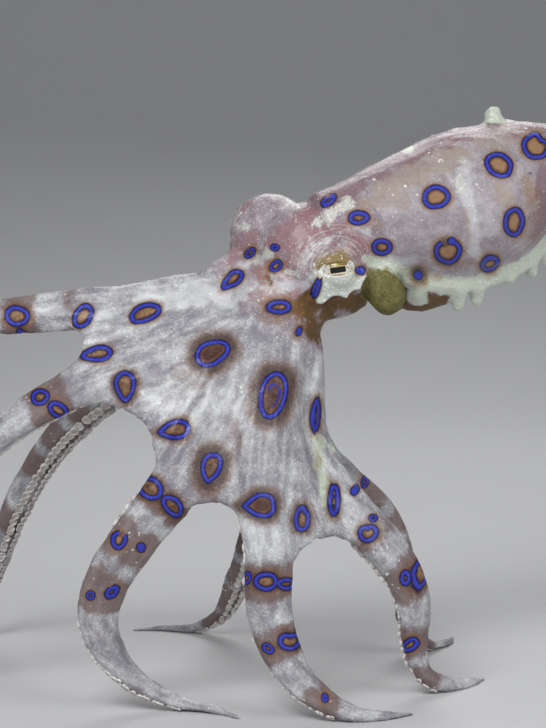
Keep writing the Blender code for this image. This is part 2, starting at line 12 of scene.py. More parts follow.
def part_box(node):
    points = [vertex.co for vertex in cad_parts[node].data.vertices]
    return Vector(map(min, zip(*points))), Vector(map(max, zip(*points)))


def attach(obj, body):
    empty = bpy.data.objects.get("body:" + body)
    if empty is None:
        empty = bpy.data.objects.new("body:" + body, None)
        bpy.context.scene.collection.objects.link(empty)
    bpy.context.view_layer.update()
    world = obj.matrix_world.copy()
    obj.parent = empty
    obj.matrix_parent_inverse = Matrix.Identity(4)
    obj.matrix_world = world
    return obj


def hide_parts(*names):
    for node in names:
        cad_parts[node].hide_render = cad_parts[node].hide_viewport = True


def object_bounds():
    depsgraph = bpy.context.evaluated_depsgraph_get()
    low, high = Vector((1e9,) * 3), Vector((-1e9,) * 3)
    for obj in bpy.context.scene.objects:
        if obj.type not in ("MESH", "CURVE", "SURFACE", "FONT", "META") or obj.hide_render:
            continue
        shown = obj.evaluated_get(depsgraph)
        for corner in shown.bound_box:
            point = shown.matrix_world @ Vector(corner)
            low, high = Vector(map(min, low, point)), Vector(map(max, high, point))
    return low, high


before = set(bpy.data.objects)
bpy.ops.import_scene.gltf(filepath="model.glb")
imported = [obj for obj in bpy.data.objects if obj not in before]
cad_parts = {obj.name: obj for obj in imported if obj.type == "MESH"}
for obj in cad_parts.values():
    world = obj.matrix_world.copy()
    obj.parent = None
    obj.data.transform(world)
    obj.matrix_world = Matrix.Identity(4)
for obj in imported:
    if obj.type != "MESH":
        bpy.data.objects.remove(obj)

mm = 0.001
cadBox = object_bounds()
random.seed(11)

# Places are laid out in millimetres round this point of the floor, as in the solids' own source.
standCentre = Vector((-9.26, 15.46, 1.4))


def at(x, y, z):
    return (Vector((x, y, z)) - standCentre) * mm


def smoothStep(low, high, value):
    t = np.clip((value - low) / (high - low), 0.0, 1.0)
    return t * t * (3.0 - 2.0 * t)


def unit(rows):
    return rows / np.maximum(np.linalg.norm(rows, axis=-1, keepdims=True), 1e-12)


def deselectAll():
    if bpy.context.object and bpy.context.object.mode != "OBJECT":
        bpy.ops.object.mode_set(mode="OBJECT")
    bpy.ops.object.select_all(action="DESELECT")


def makeActive(obj):
    deselectAll()
    obj.select_set(True)
    bpy.context.view_layer.objects.active = obj


def applyModifier(obj, kind, **settings):
    makeActive(obj)
    modifier = obj.modifiers.new(kind.lower(), kind)
    for key, value in settings.items():
        setattr(modifier, key, value)
    bpy.ops.object.modifier_apply(modifier=modifier.name)


def meshArrays(obj):
    mesh = obj.data
    places = np.zeros(len(mesh.vertices) * 3)
    normals = np.zeros(len(mesh.vertices) * 3)
    mesh.vertices.foreach_get("co", places)
    mesh.vertex_normals.foreach_get("vector", normals)
    return places.reshape(-1, 3), normals.reshape(-1, 3)


def setPlaces(obj, places):
    obj.data.vertices.foreach_set("co", np.ascontiguousarray(places, dtype=np.float32).ravel())
    obj.data.update()


def storeVectors(obj, name, *columns):
    # three numbers for each point of the mesh, which the finish reads
    values = np.ascontiguousarray(np.column_stack(columns), dtype=np.float32)
    obj.data.attributes.new(name, "FLOAT_VECTOR", "POINT").data.foreach_set("vector", values.ravel())


def shadeSmooth(obj):
    for polygon in obj.data.polygons:
        polygon.use_smooth = True


def finderOf(places):
    finder = KDTree(len(places))
    for index, place in enumerate(places):
        finder.insert(place, index)
    finder.balance()
    return finder


def openMesh(obj):
    bm = bmesh.new()
    bm.from_mesh(obj.data)
    return bm


def closeMesh(bm, obj):
    bm.to_mesh(obj.data)
    bm.free()


lens = {
    "focal": 118.7,
    "sensor": 36.0,
    "aim": at(0.0, 0.0, 57.0),
    "away": 400 * mm,
    "down": math.radians(5),
    "width": 546,
    "height": 728,
    "near": 0.01,
    "far": 20.0,
}
viewAhead = Vector((0.0, math.cos(lens["down"]), -math.sin(lens["down"])))
viewRight = Vector((1.0, 0.0, 0.0))
viewUp = viewRight.cross(viewAhead)
pixelsPerSlope = lens["height"] * lens["focal"] / lens["sensor"]


def makeCamera():
    data = bpy.data.cameras.new("camera")
    data.lens = lens["focal"]
    data.sensor_fit = "VERTICAL"
    data.sensor_width = lens["sensor"]
    data.sensor_height = lens["sensor"]
    data.clip_start = lens["near"]
    data.clip_end = lens["far"]
    camera = bpy.data.objects.new("camera", data)
    bpy.context.scene.collection.objects.link(camera)
    camera.location = lens["aim"] - viewAhead * lens["away"]
    camera.rotation_euler = viewAhead.to_track_quat("-Z", "Y").to_euler()
    bpy.context.scene.camera = camera
    return camera


camera = makeCamera()
eyePoint = np.array(camera.location)


def pixelRay(x, y):
    across = (x - lens["width"] / 2) / pixelsPerSlope
    rise = (lens["height"] / 2 - y) / pixelsPerSlope
    return (viewAhead + viewRight * across + viewUp * rise).normalized()


def depthOf(places):
    return (np.array(places) - eyePoint) @ np.array(viewAhead)


def pixelOf(places):
    seen, depth = places - eyePoint, depthOf(places)
    x = lens["width"] / 2 + pixelsPerSlope * (seen @ np.array(viewRight)) / depth
    y = lens["height"] / 2 - pixelsPerSlope * (seen @ np.array(viewUp)) / depth
    return x, y


def pixelsPerMm(place):
    return pixelsPerSlope / depthOf(place) * mm


def seenPoint(tree, x, y):
    # where the sight line of a pixel meets a shape, and the shape's normal there
    return tree.ray_cast(Vector(eyePoint), pixelRay(x, y))[:2]


print("camera placed")

mouth = (0.5, 2.0, 66.0)
# Each arm's middle line from the crown to the tip, the way its outer face looks at root and tip, its
# half width at the root, how thick it is and how late it tapers, how far out along it the web runs, and
# how far its rows of suckers are turned from the inner middle towards the side.
arms = {
    "right1": {
        "line": [
            (-1.8, 3, 68.6), (-9.7, 2, 68.9), (-21.3, 1, 67.1), (-35.4, 0, 65.8), (-46, 1, 64.9),
            (-58, 4, 65), (-69, 9, 62), (-75.5, 12.5, 55), (-74, 11, 47.5), (-68, 8, 46)],
        "root": (0.0, -0.5, 0.87), "tip": None,
        "half": 4.6, "thick": 2.8, "taper": 1.5, "web": 37.0, "roll": 0,
    },
    "left1": {
        "line": [
            (-2.5, 0, 65.7), (-11.2, -4, 62.1), (-20.1, -7, 58.6), (-28.3, -8, 55.7),
            (-36.5, -8, 51.6), (-45, -7, 46), (-51.5, -5, 38), (-55, -2, 27), (-57.5, 1, 15),
            (-61, 3, 5.2), (-67, 3, 2.0), (-73, 0.5, 1.2)],
        "root": (-0.2, -0.7, 0.7), "tip": (0.1, 0.1, 1.0),
        "half": 4.5, "thick": 2.7, "taper": 1.5, "web": 38.0, "roll": 0,
    },
    "left2": {
        "line": [
            (-1.8, -3, 62.1), (-6.2, -9, 54.4), (-11.3, -13, 45.8), (-16.9, -15, 37.1),
            (-22, -16, 30.6), (-26.6, -16, 23.6), (-28.3, -15, 17), (-26.2, -13.5, 10.6),
            (-21.5, -12.5, 5.6), (-15, -13, 2.7), (-9, -15.5, 2.0), (-4.5, -20, 1.3)],
        "root": (0.45, -0.88, 0.1), "tip": (0.1, -0.2, 1.0),
        "half": 5.0, "thick": 2.8, "taper": 2.6, "web": 40.0, "roll": 40,
    },
    "left3": {
        "line": [
            (0.8, -4, 60.5), (-0.2, -10, 52), (-1.3, -14, 43.5), (-1.4, -16, 34.8),
            (-0.6, -17, 27.7), (-0.8, -17, 21.4), (0.2, -17, 15), (3, -18, 9.2),
            (7.6, -19.5, 4.8), (13.4, -20.5, 2.5), (19, -19, 1.9), (23.5, -15.5, 1.2)],
        "root": (0.42, -0.9, 0.1), "tip": (-0.1, -0.3, 1.0),
        "half": 5.2, "thick": 2.8, "taper": 2.8, "web": 44.0, "roll": 35,
    },
    "left4": {
        "line": [
            (4.2, 0, 60.2), (4.2, -3, 51.3), (5.8, -5, 43.2), (10.4, -6, 35.9), (16.8, -6, 29.2),
            (21.4, -5, 23), (23.6, -4, 17), (23.8, -3, 10.8), (25.2, -1.5, 5.4), (29.4, 1.5, 2.5),
            (34.2, 6, 1.9), (37, 11.5, 1.2)],
        "root": (0.72, -0.68, 0.1), "tip": (0.1, -0.3, 1.0),
        "half": 4.9, "thick": 2.8, "taper": 2.8, "web": 44.0, "roll": 25,
    },
    "right4": {
        "line": [
            (5.1, 5, 58.9), (5.6, 10.5, 49.8), (7.4, 15.5, 41.9), (12.6, 20, 35.6),
            (19.2, 23, 29.3), (23, 25, 20.6), (23.8, 27, 12.6), (25, 30, 6), (28.6, 34, 2.6),
            (32.4, 39.5, 1.9), (33.6, 45.5, 1.2)],
        "root": (0.85, 0.3, 0.4), "tip": (0.1, 0.1, 1.0),
        "half": 4.7, "thick": 2.7, "taper": 2.4, "web": 40.0, "roll": 0,
    },
    "right3": {
        "line": [
            (2.4, 7.5, 59.5), (4.6, 15, 52), (4.2, 23.5, 43.6), (1.6, 31, 34.4), (-2, 37, 24.6),
            (-5.5, 42, 14.6), (-9.4, 46.4, 6.2), (-15, 50.4, 2.4), (-21.6, 52.6, 1.8),
            (-28, 52.4, 1.2)],
        "root": (0.2, 0.8, 0.5), "tip": (0.0, 0.1, 1.0),
        "half": 4.8, "thick": 2.8, "taper": 2.2, "web": 40.0, "roll": 0,
    },
    "right2": {
        "line": [
            (-2.2, 6.5, 64.2), (-9.5, 12.5, 61), (-19.5, 19.5, 56), (-30, 26.5, 49),
            (-40, 33, 39), (-47, 38.5, 27.4), (-51.4, 42.4, 15.4), (-55.4, 44.4, 6),
            (-61.4, 44.4, 2.2), (-68, 42, 1.6), (-73, 38, 1.1)],
        "root": (-0.1, 0.5, 0.85), "tip": (0.0, 0.1, 1.0),
        "half": 4.7, "thick": 2.8, "taper": 1.9, "web": 36.0, "roll": 0,
    },
}
mantleShape = {
    # middle and radius, from the neck to the tip
    "stations": [
        (6.5, 0.5, 78.0, 7.0), (12.0, 2.0, 79.2, 7.8), (21.4, 6.0, 81.4, 10.2),
        (28.3, 9.0, 82.4, 12.4), (35.3, 12.0, 84.4, 12.6), (41.5, 14.6, 87.2, 10.7),
        (47.1, 17.0, 89.3, 8.6), (52.4, 19.0, 91.4, 5.5), (56.9, 21.0, 93.4, 0.6)],
    "left": (0.44, -0.66, -0.61),
    "ridgeTurn": 125.0,     # degrees from the back round to the ridge along the mantle's side
    "ridgeLift": 0.7,
    "ridgeSpan": (0.20, 0.97),
    # each papilla: how far along the mantle, its length in the solids, the length it is drawn back to
    "papillae": [
        (0.275, 4.2, 3.5), (0.395, 5.8, 5.8), (0.44, 5.1, 5.2), (0.53, 3.2, 2.8), (0.585, 4.7, 4.9),
        (0.65, 4.8, 5.0), (0.72, 5.2, 5.2), (0.79, 4.1, 4.1), (0.86, 4.6, 4.6), (0.92, 3.6, 3.6)],
    "papillaLean": 40.0,
    "papillaFoot": 1.2,     # how far out of the ridge's middle line a papilla begins
    "papillaReach": (-2, 3),    # how far before its root and beyond its end the flesh is its own
    "papillaGap": (3.2, 2.6),   # from its axis, where the sinking of the flesh begins and is full
    "papillaBody": (1.75, 0.80),    # from its axis, where it ends and where it is whole
    "betweenKept": 0.05,    # share of the flesh that stays between the papillae
    "backKnob": (0.66, -40.0, 4.1),     # along, degrees round, length
}
courseRows = 160


def smoothCourse(points, count):
    # rows evenly spaced along a curve through the points
    knots = np.array(points, dtype=float)
    knots = np.vstack([2 * knots[0] - knots[1], knots, 2 * knots[-1] - knots[-2]])
    walked = []
    for i in range(1, len(knots) - 2):
        a, b, c, d = knots[i - 1:i + 3]
        for t in np.arange(20) / 20:
            walked.append(0.5 * (2 * b + (c - a) * t + (2 * a - 5 * b + 4 * c - d) * t * t
                                 + (3 * b - a - 3 * c + d) * t ** 3))
    walked = np.array(walked + [knots[-2]])
    run = np.concatenate([[0.0], np.cumsum(np.linalg.norm(np.diff(walked, axis=0), axis=1))])
    even = np.linspace(0.0, run[-1], count)
    return np.column_stack([np.interp(even, run, walked[:, k]) for k in range(walked.shape[1])])


class Course:
    # an arm's middle line in metres, with its side and outward ways at each row
    def __init__(self, points, root, tip):
        rows = smoothCourse([mouth] + points, courseRows)
        self.rows = (rows - np.array(standCentre)) * mm
        self.tangents = unit(np.gradient(self.rows, axis=0))
        carried = np.array(root, dtype=float)
        sides, outs = [], []
        for i, along in enumerate(self.tangents):
            carried = unit(carried - along * (carried @ along))
            out = carried
            if tip is not None:
                share = float(smoothStep(0.5, 0.85, np.array(i / (courseRows - 1))))
                out = carried * (1 - share) + np.array(tip) * share
            side = unit(np.cross(along, out))
            sides.append(side)
            outs.append(np.cross(side, along))
        self.sides, self.outs = np.array(sides), np.array(outs)
        steps = np.linalg.norm(np.diff(self.rows, axis=0), axis=1)
        self.run = np.concatenate([[0.0], np.cumsum(steps)]) / mm


courses = {name: Course(arm["line"], arm["root"], arm["tip"]) for name, arm in arms.items()}
mantleRows = smoothCourse(mantleShape["stations"], courseRows)
mantleLine = (mantleRows[:, :3] - np.array(standCentre)) * mm
mantleRadius = mantleRows[:, 3]
mantleLeft = np.array(mantleShape["left"])
mantleTangents = unit(np.gradient(mantleLine, axis=0))
mantleBacks = unit(np.cross(mantleLeft, mantleTangents))
mantleBacks *= np.sign(mantleBacks[:, 2:3])
mantleLefts = np.cross(mantleTangents, mantleBacks)
mantleLefts *= np.sign(mantleLefts @ mantleLeft)[:, None]


def mantlePlace(along, turn, lift=0.0):
    # a point on the mantle in metres, and the way out of it there
    row = round(along * (courseRows - 1))
    turn = math.radians(turn)
    out = mantleBacks[row] * math.cos(turn) + mantleLefts[row] * math.sin(turn)
    return mantleLine[row] + out * (mantleRadius[row] + lift) * mm, out


def ridgePlace(along, side):
    return mantlePlace(along, side * mantleShape["ridgeTurn"], mantleShape["ridgeLift"])[0]


class EyePlace:
    # an eye's middle, the way it looks, its up, and the way to the animal's rear
    def __init__(self, node, look, up, rear):
        low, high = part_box(node)
        self.centre = (low + high) / 2
        self.look = Vector(look).normalized()
        self.up = (Vector(up) - self.look * self.look.dot(Vector(up))).normalized()
        self.rear = self.up.cross(self.look).normalized()
        if self.rear.dot(Vector(rear)) < 0:
            self.rear = -self.rear

    def place(self, x, y, z):
        # millimetres to the rear, up and outward of the eyeball's middle
        return self.centre + (self.rear * x + self.up * y + self.look * z) * mm

    def local(self, places):
        away = (places - np.array(self.centre)) / mm
        return [away @ np.array(way) for way in (self.rear, self.up, self.look)]


headAcross = Vector((0.66, -0.665, -0.347)).normalized()  # from the right eye to the left
leftEye = EyePlace("eye_left", (0.03, -0.99, 0.08), (-0.07, 0.08, 1.0), (1.0, 0.03, 0.07))
rightEye = EyePlace("eye_right", (-0.75, 0.45, 0.48), (0.37, -0.32, 0.87), (0.55, 0.83, 0.07))
eyes = (leftEye, rightEye)
eyeRadius = 3.2

skinShape = {
    "grow": 0.24 * mm,
    "grain": 0.44 * mm,
    "opening": (2.7, 1.1),
    "openingRise": 0.12,
    "openingSink": 0.35,    # how far behind the eyeball's surface the skin goes within the opening
    "lipRise": 0.16,        # how far the opening's edge stands on the ball
    "lidDepth": 0.55,       # of the skin over the eyeball, before the fused skin is drawn in
    "lidRim": 0.45,         # from the opening to the middle of the thick rim round it
    "flare": (0.75, -0.45),     # how far each eye's flap stands off
    "flapThick": 0.85,
    "merge": 0.002,
    "smoothRounds": 7,
    # flesh between the far eye's mound and the arm: pixel of the skin, pixel and radius of the ball
    "shoulders": [
        ((236, 272), (234, 263.5), 2.6), ((228, 276), (225, 269), 2.5), ((216, 280), (213, 273), 2.1)],
}
fleshNodes = [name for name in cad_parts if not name.startswith("eye_")]


def fleshCopies():
    # the solids' own shapes, merged, and swollen a little so that the parting cuts close
    deselectAll()
    copies = []
    for name in fleshNodes:
        copy = bpy.data.objects.new("flesh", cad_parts[name].data.copy())
        bpy.context.scene.collection.objects.link(copy)
        copy.select_set(True)
        copies.append(copy)
    bpy.context.view_layer.objects.active = copies[0]
    bpy.ops.object.join()
    flesh = bpy.context.object
    bpy.ops.object.mode_set(mode="EDIT")
    bpy.ops.mesh.select_all(action="SELECT")
    bpy.ops.mesh.remove_doubles(threshold=skinShape["merge"] * mm)
    bpy.ops.mesh.normals_make_consistent(inside=False)
    bpy.ops.object.mode_set(mode="OBJECT")
    flesh.data.materials.clear()
    applyModifier(flesh, "DISPLACE", strength=skinShape["grow"], mid_level=0.0)
    return flesh


def treeOf(obj):
    bm = openMesh(obj)
    tree = BVHTree.FromBMesh(bm)
    bm.free()
    return tree


def ballAt(place, radius):
    deselectAll()
    bpy.ops.mesh.primitive_uv_sphere_add(segments=40, ring_count=24, radius=radius * mm,
                                         location=place)
    bpy.ops.object.transform_apply(location=True, rotation=True, scale=True)
    return bpy.context.object


# The flap below each eye, by angle round the eye: where its outer edge is, in millimetres.
flapEdge = np.array([
    (178, 4.0), (193, 4.2), (210, 4.9), (222, 6.0), (233, 6.8), (243, 6.5), (252, 4.9), (263, 4.4),
    (272, 4.5), (281, 5.0), (290, 5.1), (299, 4.4), (308, 4.6), (317, 5.3), (326, 4.9), (336, 4.9),
    (346, 5.4), (355, 4.8), (364, 4.4)])


def flapFor(eye, tree, flare):
    # a sheet that hangs over the cheek, from the eye's lower edge out to a scalloped rim
    columns, rows = 72, 9
    low, high = flapEdge[0, 0], flapEdge[-1, 0]
    openX, openY = skinShape["opening"]
    deselectAll()
    bpy.ops.mesh.primitive_grid_add(x_subdivisions=columns - 1, y_subdivisions=rows - 1, size=1.0)
    sheet = bpy.context.object
    for vert in sheet.data.vertices:
        turn = math.radians(low + (high - low) * (vert.co.x + 0.5))
        share = vert.co.y + 0.5
        inner = openX * openY / math.hypot(openY * math.cos(turn), openX * math.sin(turn)) + 0.15
        outer = float(np.interp(math.degrees(turn), *flapEdge.T))
        reach = inner + (outer - inner) * share
        x, y = reach * math.cos(turn), reach * math.sin(turn)
        y += skinShape["openingRise"] * (1 - share)
        start = eye.place(x, y, 14.0)
        hit = tree.ray_cast(start, -eye.look)[0]
        depth = (Vector(hit) - Vector(eye.centre)).dot(eye.look) / mm if hit else 1.0
        onBall = math.sqrt(max(0.0, (eyeRadius + 0.2) ** 2 - x * x - y * y))
        depth = max(depth, onBall * (1 - share)) + 0.15 + flare * share ** 1.5
        vert.co = eye.place(x, y, depth)
    applyModifier(sheet, "SMOOTH", factor=0.5, iterations=3)
    applyModifier(sheet, "SOLIDIFY", thickness=skinShape["flapThick"] * mm, offset=0.0)
    return sheet


def lidRingFor(eye):
    # the thick rim round the opening, from which the upper lid rises
    deselectAll()
    bpy.ops.mesh.primitive_torus_add(major_segments=48, minor_segments=12, major_radius=1.0,
                                     minor_radius=0.2)
    ring = bpy.context.object
    openX, openY = [half + skinShape["lidRim"] for half in skinShape["opening"]]
    for vert in ring.data.vertices:
        x, y, z = vert.co
        flat = math.hypot(x, y)
        fat = (flat - 1.0) * 2.4
        across = (openX + fat) * x / flat
        rise = (openY + fat) * y / flat + skinShape["openingRise"]
        onBall = math.sqrt(max(1.0, eyeRadius ** 2 - across ** 2 - rise ** 2))
        vert.co = eye.place(across, rise, onBall - 0.05 + z * 2.2)
    return ring


def joinAll(first, others):
    deselectAll()
    for obj in others + [first]:
        obj.select_set(True)
    bpy.context.view_layer.objects.active = first
    bpy.ops.object.join()
    return first


def smoothed(places, edges, steps, share=1.0):
    # each step moves every point part of the way to the mean of its neighbours
    count = np.maximum(np.bincount(edges.ravel(), minlength=len(places)), 1)[:, None]
    for step in steps:
        total = np.zeros_like(places)
        for k in range(3):
            total[:, k] = (np.bincount(edges[:, 0], places[edges[:, 1], k], len(places))
                           + np.bincount(edges[:, 1], places[edges[:, 0], k], len(places)))
        places = places + (total / count - places) * step * share
    return places


def edgePairs(obj):
    edges = np.zeros(len(obj.data.edges) * 2, dtype=np.int64)
    obj.data.edges.foreach_get("vertices", edges)
    return edges.reshape(-1, 2)


def filledAt(tree, seen, pixel, radius):
    # a ball of flesh on the sight line of one pixel, as deep as the skin at another
    hit = seenPoint(tree, *seen)[0]
    depth = (hit - Vector(eyePoint)).dot(viewAhead) + 0.8 * radius * mm
    ray = pixelRay(*pixel)
    return ballAt(Vector(eyePoint) + ray * depth / ray.dot(viewAhead), radius)


def makeSkin():
    flesh = fleshCopies()
    tree = treeOf(flesh)
    extras = []
    for eye, flare in zip(eyes, skinShape["flare"]):
        extras.append(flapFor(eye, tree, flare))
        extras.append(lidRingFor(eye))
        extras.append(ballAt(eye.centre, eyeRadius + skinShape["lidDepth"]))
    for shoulder in skinShape["shoulders"]:
        extras.append(filledAt(tree, *shoulder))
    skin = joinAll(flesh, extras)
    skin.name = skin.data.name = "skin"
    applyModifier(skin, "REMESH", mode="VOXEL", voxel_size=skinShape["grain"])
    places, normals = meshArrays(skin)
    places -= normals * skinShape["grow"]
    # a step in and a step back out keep the volume
    setPlaces(skin, smoothed(places, edgePairs(skin), (0.5, -0.53) * skinShape["smoothRounds"]))
    return skin


skin = makeSkin()
print("skin fused:", len(skin.data.vertices), "vertices", len(skin.data.polygons), "faces")


def fractal(place, octaves, seed=0.0):
    total, size, share = 0.0, 1.0, 1.0
    for _ in range(octaves):
        x, y, z = place * size
        total += share * noise.noise(Vector((x + seed, y, z)))
        size *= 2.1
        share *= 0.5
    return total


def fieldOf(places, scale, octaves=2, seed=0.0):
    # noise at each place, scale in features a millimetre
    return np.array([fractal(p, octaves, seed) for p in places / mm * scale])


headShape = {
    "neckPlace": (15.0, 3.0, 80.2),     # a point of the plane that parts mantle from head
    "neckWay": (0.90, 0.38, 0.21),
    "neckBlend": 1.5,
    "mantleFloor": (54.0, 58.0),        # below this height nothing is mantle
    "middle": (7.5, 3.0, 74.0),         # the round cut that parts head from limbs
    "size": (18.0, 15.5, 15.5),
    "blend": (1.04, 0.94),
}


def roundReach(offsets, size):
    # 1 on the surface of the round body with these half axes, less inside it
    return np.sqrt(sum((offset / half) ** 2 for offset, half in zip(offsets, size)))


def nearestRows(line, places):
    # for every place the nearest row of a line, and how far off it is
    finder = finderOf(line)
    found = [finder.find(p) for p in places]
    return np.array([f[1] for f in found]), np.array([f[2] for f in found])


class Survey:
    # for every place: the nearest arm, how far along it, to its side and out of its middle, and what
    # share of the place is mantle, head and limb
    def __init__(self, places):
        self.arm = np.zeros(len(places), dtype=int)
        self.along, self.side, self.out = np.zeros((3, len(places)))
        nearest = np.full(len(places), 1e9)
        for index, course in enumerate(courses.values()):
            rows, gaps = nearestRows(course.rows, places)
            better = gaps < nearest
            picked = rows[better]
            away = places[better] - course.rows[picked]
            nearest[better] = gaps[better]
            self.arm[better] = index
            lead = (away * course.tangents[picked]).sum(1) / mm
            self.along[better] = course.run[picked] + lead
            self.side[better] = (away * course.sides[picked]).sum(1) / mm
            self.out[better] = (away * course.outs[picked]).sum(1) / mm
        self.webEnd = np.array([arm["web"] for arm in arms.values()])[self.arm]
        rows = nearestRows(mantleLine, places)[0]
        away = (places - mantleLine[rows]) / mm
        self.mantleAlong = rows / (courseRows - 1)
        back = (away * mantleBacks[rows]).sum(1)
        left = (away * mantleLefts[rows]).sum(1)
        self.mantleTurn = np.degrees(np.arctan2(left, back))
        spots = [places[:, k] / mm + standCentre[k] for k in range(3)]
        past = sum((spots[k] - headShape["neckPlace"][k]) * headShape["neckWay"][k] for k in range(3))
        self.mantle = smoothStep(-headShape["neckBlend"], headShape["neckBlend"], past)
        self.mantle *= smoothStep(*headShape["mantleFloor"], spots[2])
        reach = roundReach([spots[k] - headShape["middle"][k] for k in range(3)], headShape["size"])
        self.head = smoothStep(*headShape["blend"], reach) * (1 - self.mantle)
        self.limb = (1 - self.mantle) * (1 - self.head)


print("survey ready")

creases = {
    "lengthwise": 0.30,     # height of the folds that run along arms and web, in millimetres
    "lengthwiseRate": (0.11, 0.62, 0.4),    # features a millimetre along the arm, across it, outward
    "warts": 0.20,
    "wartRate": 0.42,
    "grain": 0.05,
    "grainRate": 1.25,
    "roundEye": 0.23,
    "roundEyeFrom": 3.2,
    "roundEyeTo": 9.0,
    "roundEyeRate": (2.1, 1.5),     # folds outward and round
    "roundEyeMiddle": 0.3,
    "finer": (9.0, 5.4),    # round each eye the faces are halved out to here, one after the other
}
rootFill = {
    "steps": (0.5,) * 14,
    "funnel": (1.9, 1.3),   # reach round the funnel's lump, where the filling begins and is full
    "ridge": (16, 0.25),    # width in degrees, share
    "shoulder": (225, 266),     # the pixel of its middle
    "shoulderReach": (22.0, 14.0),
    "shoulderDeep": 14,     # no further behind the camera's aim than this
}
# middle, half axes and tilt of the lumps under head and mantle
funnelLump = (at(18.7, -1.4, 69.2), (3.4, 3.2, 4.2), math.radians(-18))
bellyLump = (at(25.6, 9.8, 70.7), (7.5, 6.0, 5.5), math.radians(-14))


def lumpReach(places, lump):
    # 1 on the lump's own surface, less inside it
    middle, size, tilt = lump
    away = (places - np.array(middle)) / mm
    cos, sin = math.cos(tilt), math.sin(tilt)
    x = away[:, 0] * cos - away[:, 2] * sin
    z = away[:, 0] * sin + away[:, 2] * cos
    return roundReach((x, away[:, 1], z), size)


def softenRoots(places, edges):
    # the creases where funnel and ridge grow from the body are filled a little
    survey = Survey(places)
    near = smoothStep(*rootFill["funnel"], lumpReach(places, funnelLump))
    near = near * smoothStep(-0.5, 1.0, (places[:, 2] - funnelLump[0].z) / mm)
    width, share = rootFill["ridge"]
    fromRidge = np.abs(survey.mantleTurn) - mantleShape["ridgeTurn"]
    ridge = np.exp(-(fromRidge / width) ** 2) * survey.mantle * share
    x, y = pixelOf(places)
    middleX, middleY = rootFill["shoulder"]
    reach = np.hypot((x - middleX) * 0.8, (y - middleY) * 1.2)
    shoulder = smoothStep(*rootFill["shoulderReach"], reach)
    shoulder = shoulder * (depthOf(places) / mm < lens["away"] / mm + rootFill["shoulderDeep"])
    hold = 1 - np.maximum(np.maximum(near, ridge), shoulder)
    return smoothed(places, edges, rootFill["steps"], (1 - hold)[:, None])


def refineRound(obj, eye, reach):
    # finer faces in front of one eye
    bm = openMesh(obj)
    near = []
    for edge in bm.edges:
        middle = (edge.verts[0].co + edge.verts[1].co) / 2 - eye.centre
        if middle.length < reach * mm and middle.dot(eye.look) > -0.5 * mm:
            near.append(edge)
    bmesh.ops.subdivide_edges(bm, edges=near, cuts=1, use_grid_fill=True)
    closeMesh(bm, obj)


def carveEye(places, eye):
    # inside the opening the skin goes just behind the eyeball, and at its edge it lies on the ball
    x, y, z = eye.local(places)
    openX, openY = skinShape["opening"]
    ratio = np.hypot(x / openX, (y - skinShape["openingRise"]) / openY)
    ball = np.sqrt(np.maximum(eyeRadius ** 2 - x * x - y * y, 0.0))
    front = (z > 0.4) & (ratio < 1.35) & (z < 9.0)
    inside = smoothStep(1.02, 0.9, ratio)
    lip = smoothStep(1.35, 1.0, ratio)
    sink, rise = skinShape["openingSink"], skinShape["lipRise"]
    wanted = ball - sink * inside + rise * (1 - inside) + 0.35 * (1 - lip)
    share = np.where(front, np.maximum(inside, 0.75 * lip), 0.0)
    z = z + (wanted - z) * share
    # beyond the opening the skin covers the ball everywhere
    covered = (ratio > 1.02) & (z > 0.0) & (np.hypot(x, y) < eyeRadius)
    z = np.where(covered, np.maximum(z, ball + 0.22), z)
    move = z - eye.local(places)[2]
    return places + (move * mm)[:, None] * np.array(eye.look)


def creaseEye(places, eye):
    # folds that follow one another round the upper half of the eye
    x, y, z = eye.local(places)
    y = y - creases["roundEyeMiddle"]
    reach = np.hypot(x, y * 1.08)
    turn = np.degrees(np.arctan2(y, x))
    upper = smoothStep(-12, 25, turn) * smoothStep(192, 165, np.where(turn < -90, turn + 360, turn))
    where = smoothStep(creases["roundEyeFrom"], creases["roundEyeFrom"] + 0.8, reach)
    where *= smoothStep(creases["roundEyeTo"], creases["roundEyeTo"] - 3.0, reach) * upper * (z > -1.0)
    outward, roundIt = creases["roundEyeRate"]
    rolled = np.column_stack([reach * outward, np.radians(turn) * roundIt, z * 0.0]) * mm
    return fieldOf(rolled, 1.0, 2, eye.centre.x * 900) * where


def papillaAxes():
    # root, way, length and wanted length of every papilla on both side ridges
    turn = mantleShape["ridgeTurn"] + mantleShape["papillaLean"]
    return [(ridgePlace(along, side), mantlePlace(along, side * turn)[1], length, wanted)
            for along, length, wanted in mantleShape["papillae"] for side in (1, -1)]


def slimPapillae(places):
    # the flesh between the papillae sinks back to the ridge, so that each stands alone
    nearest = np.full(len(places), 1e9)
    moves = np.zeros_like(places)
    free = smoothStep(1.02, 1.22, lumpReach(places, bellyLump))
    before, beyond = mantleShape["papillaReach"]
    foot, least = mantleShape["papillaFoot"], mantleShape["betweenKept"]
    for root, way, length, wanted in papillaAxes():
        away = (places - root) / mm
        run = away @ way
        gap = np.linalg.norm(away - run[:, None] * way, axis=1)
        closer = (gap < nearest) & (run > before) & (run < length + beyond)
        nearest[closer] = gap[closer]
        proud = np.maximum(run - foot, 0)
        tall = (wanted - foot) / (length - foot)
        kept = least + (tall - least) * smoothStep(*mantleShape["papillaBody"], gap)
        sunk = proud * (1 - kept) * smoothStep(*mantleShape["papillaGap"], gap) * free
        moves[closer] = -(sunk[closer, None] * way)
    return places + moves * mm


def layOnFloor(obj, places):
    places[:, 2] = np.maximum(places[:, 2], cadBox[0][2])
    setPlaces(obj, places)


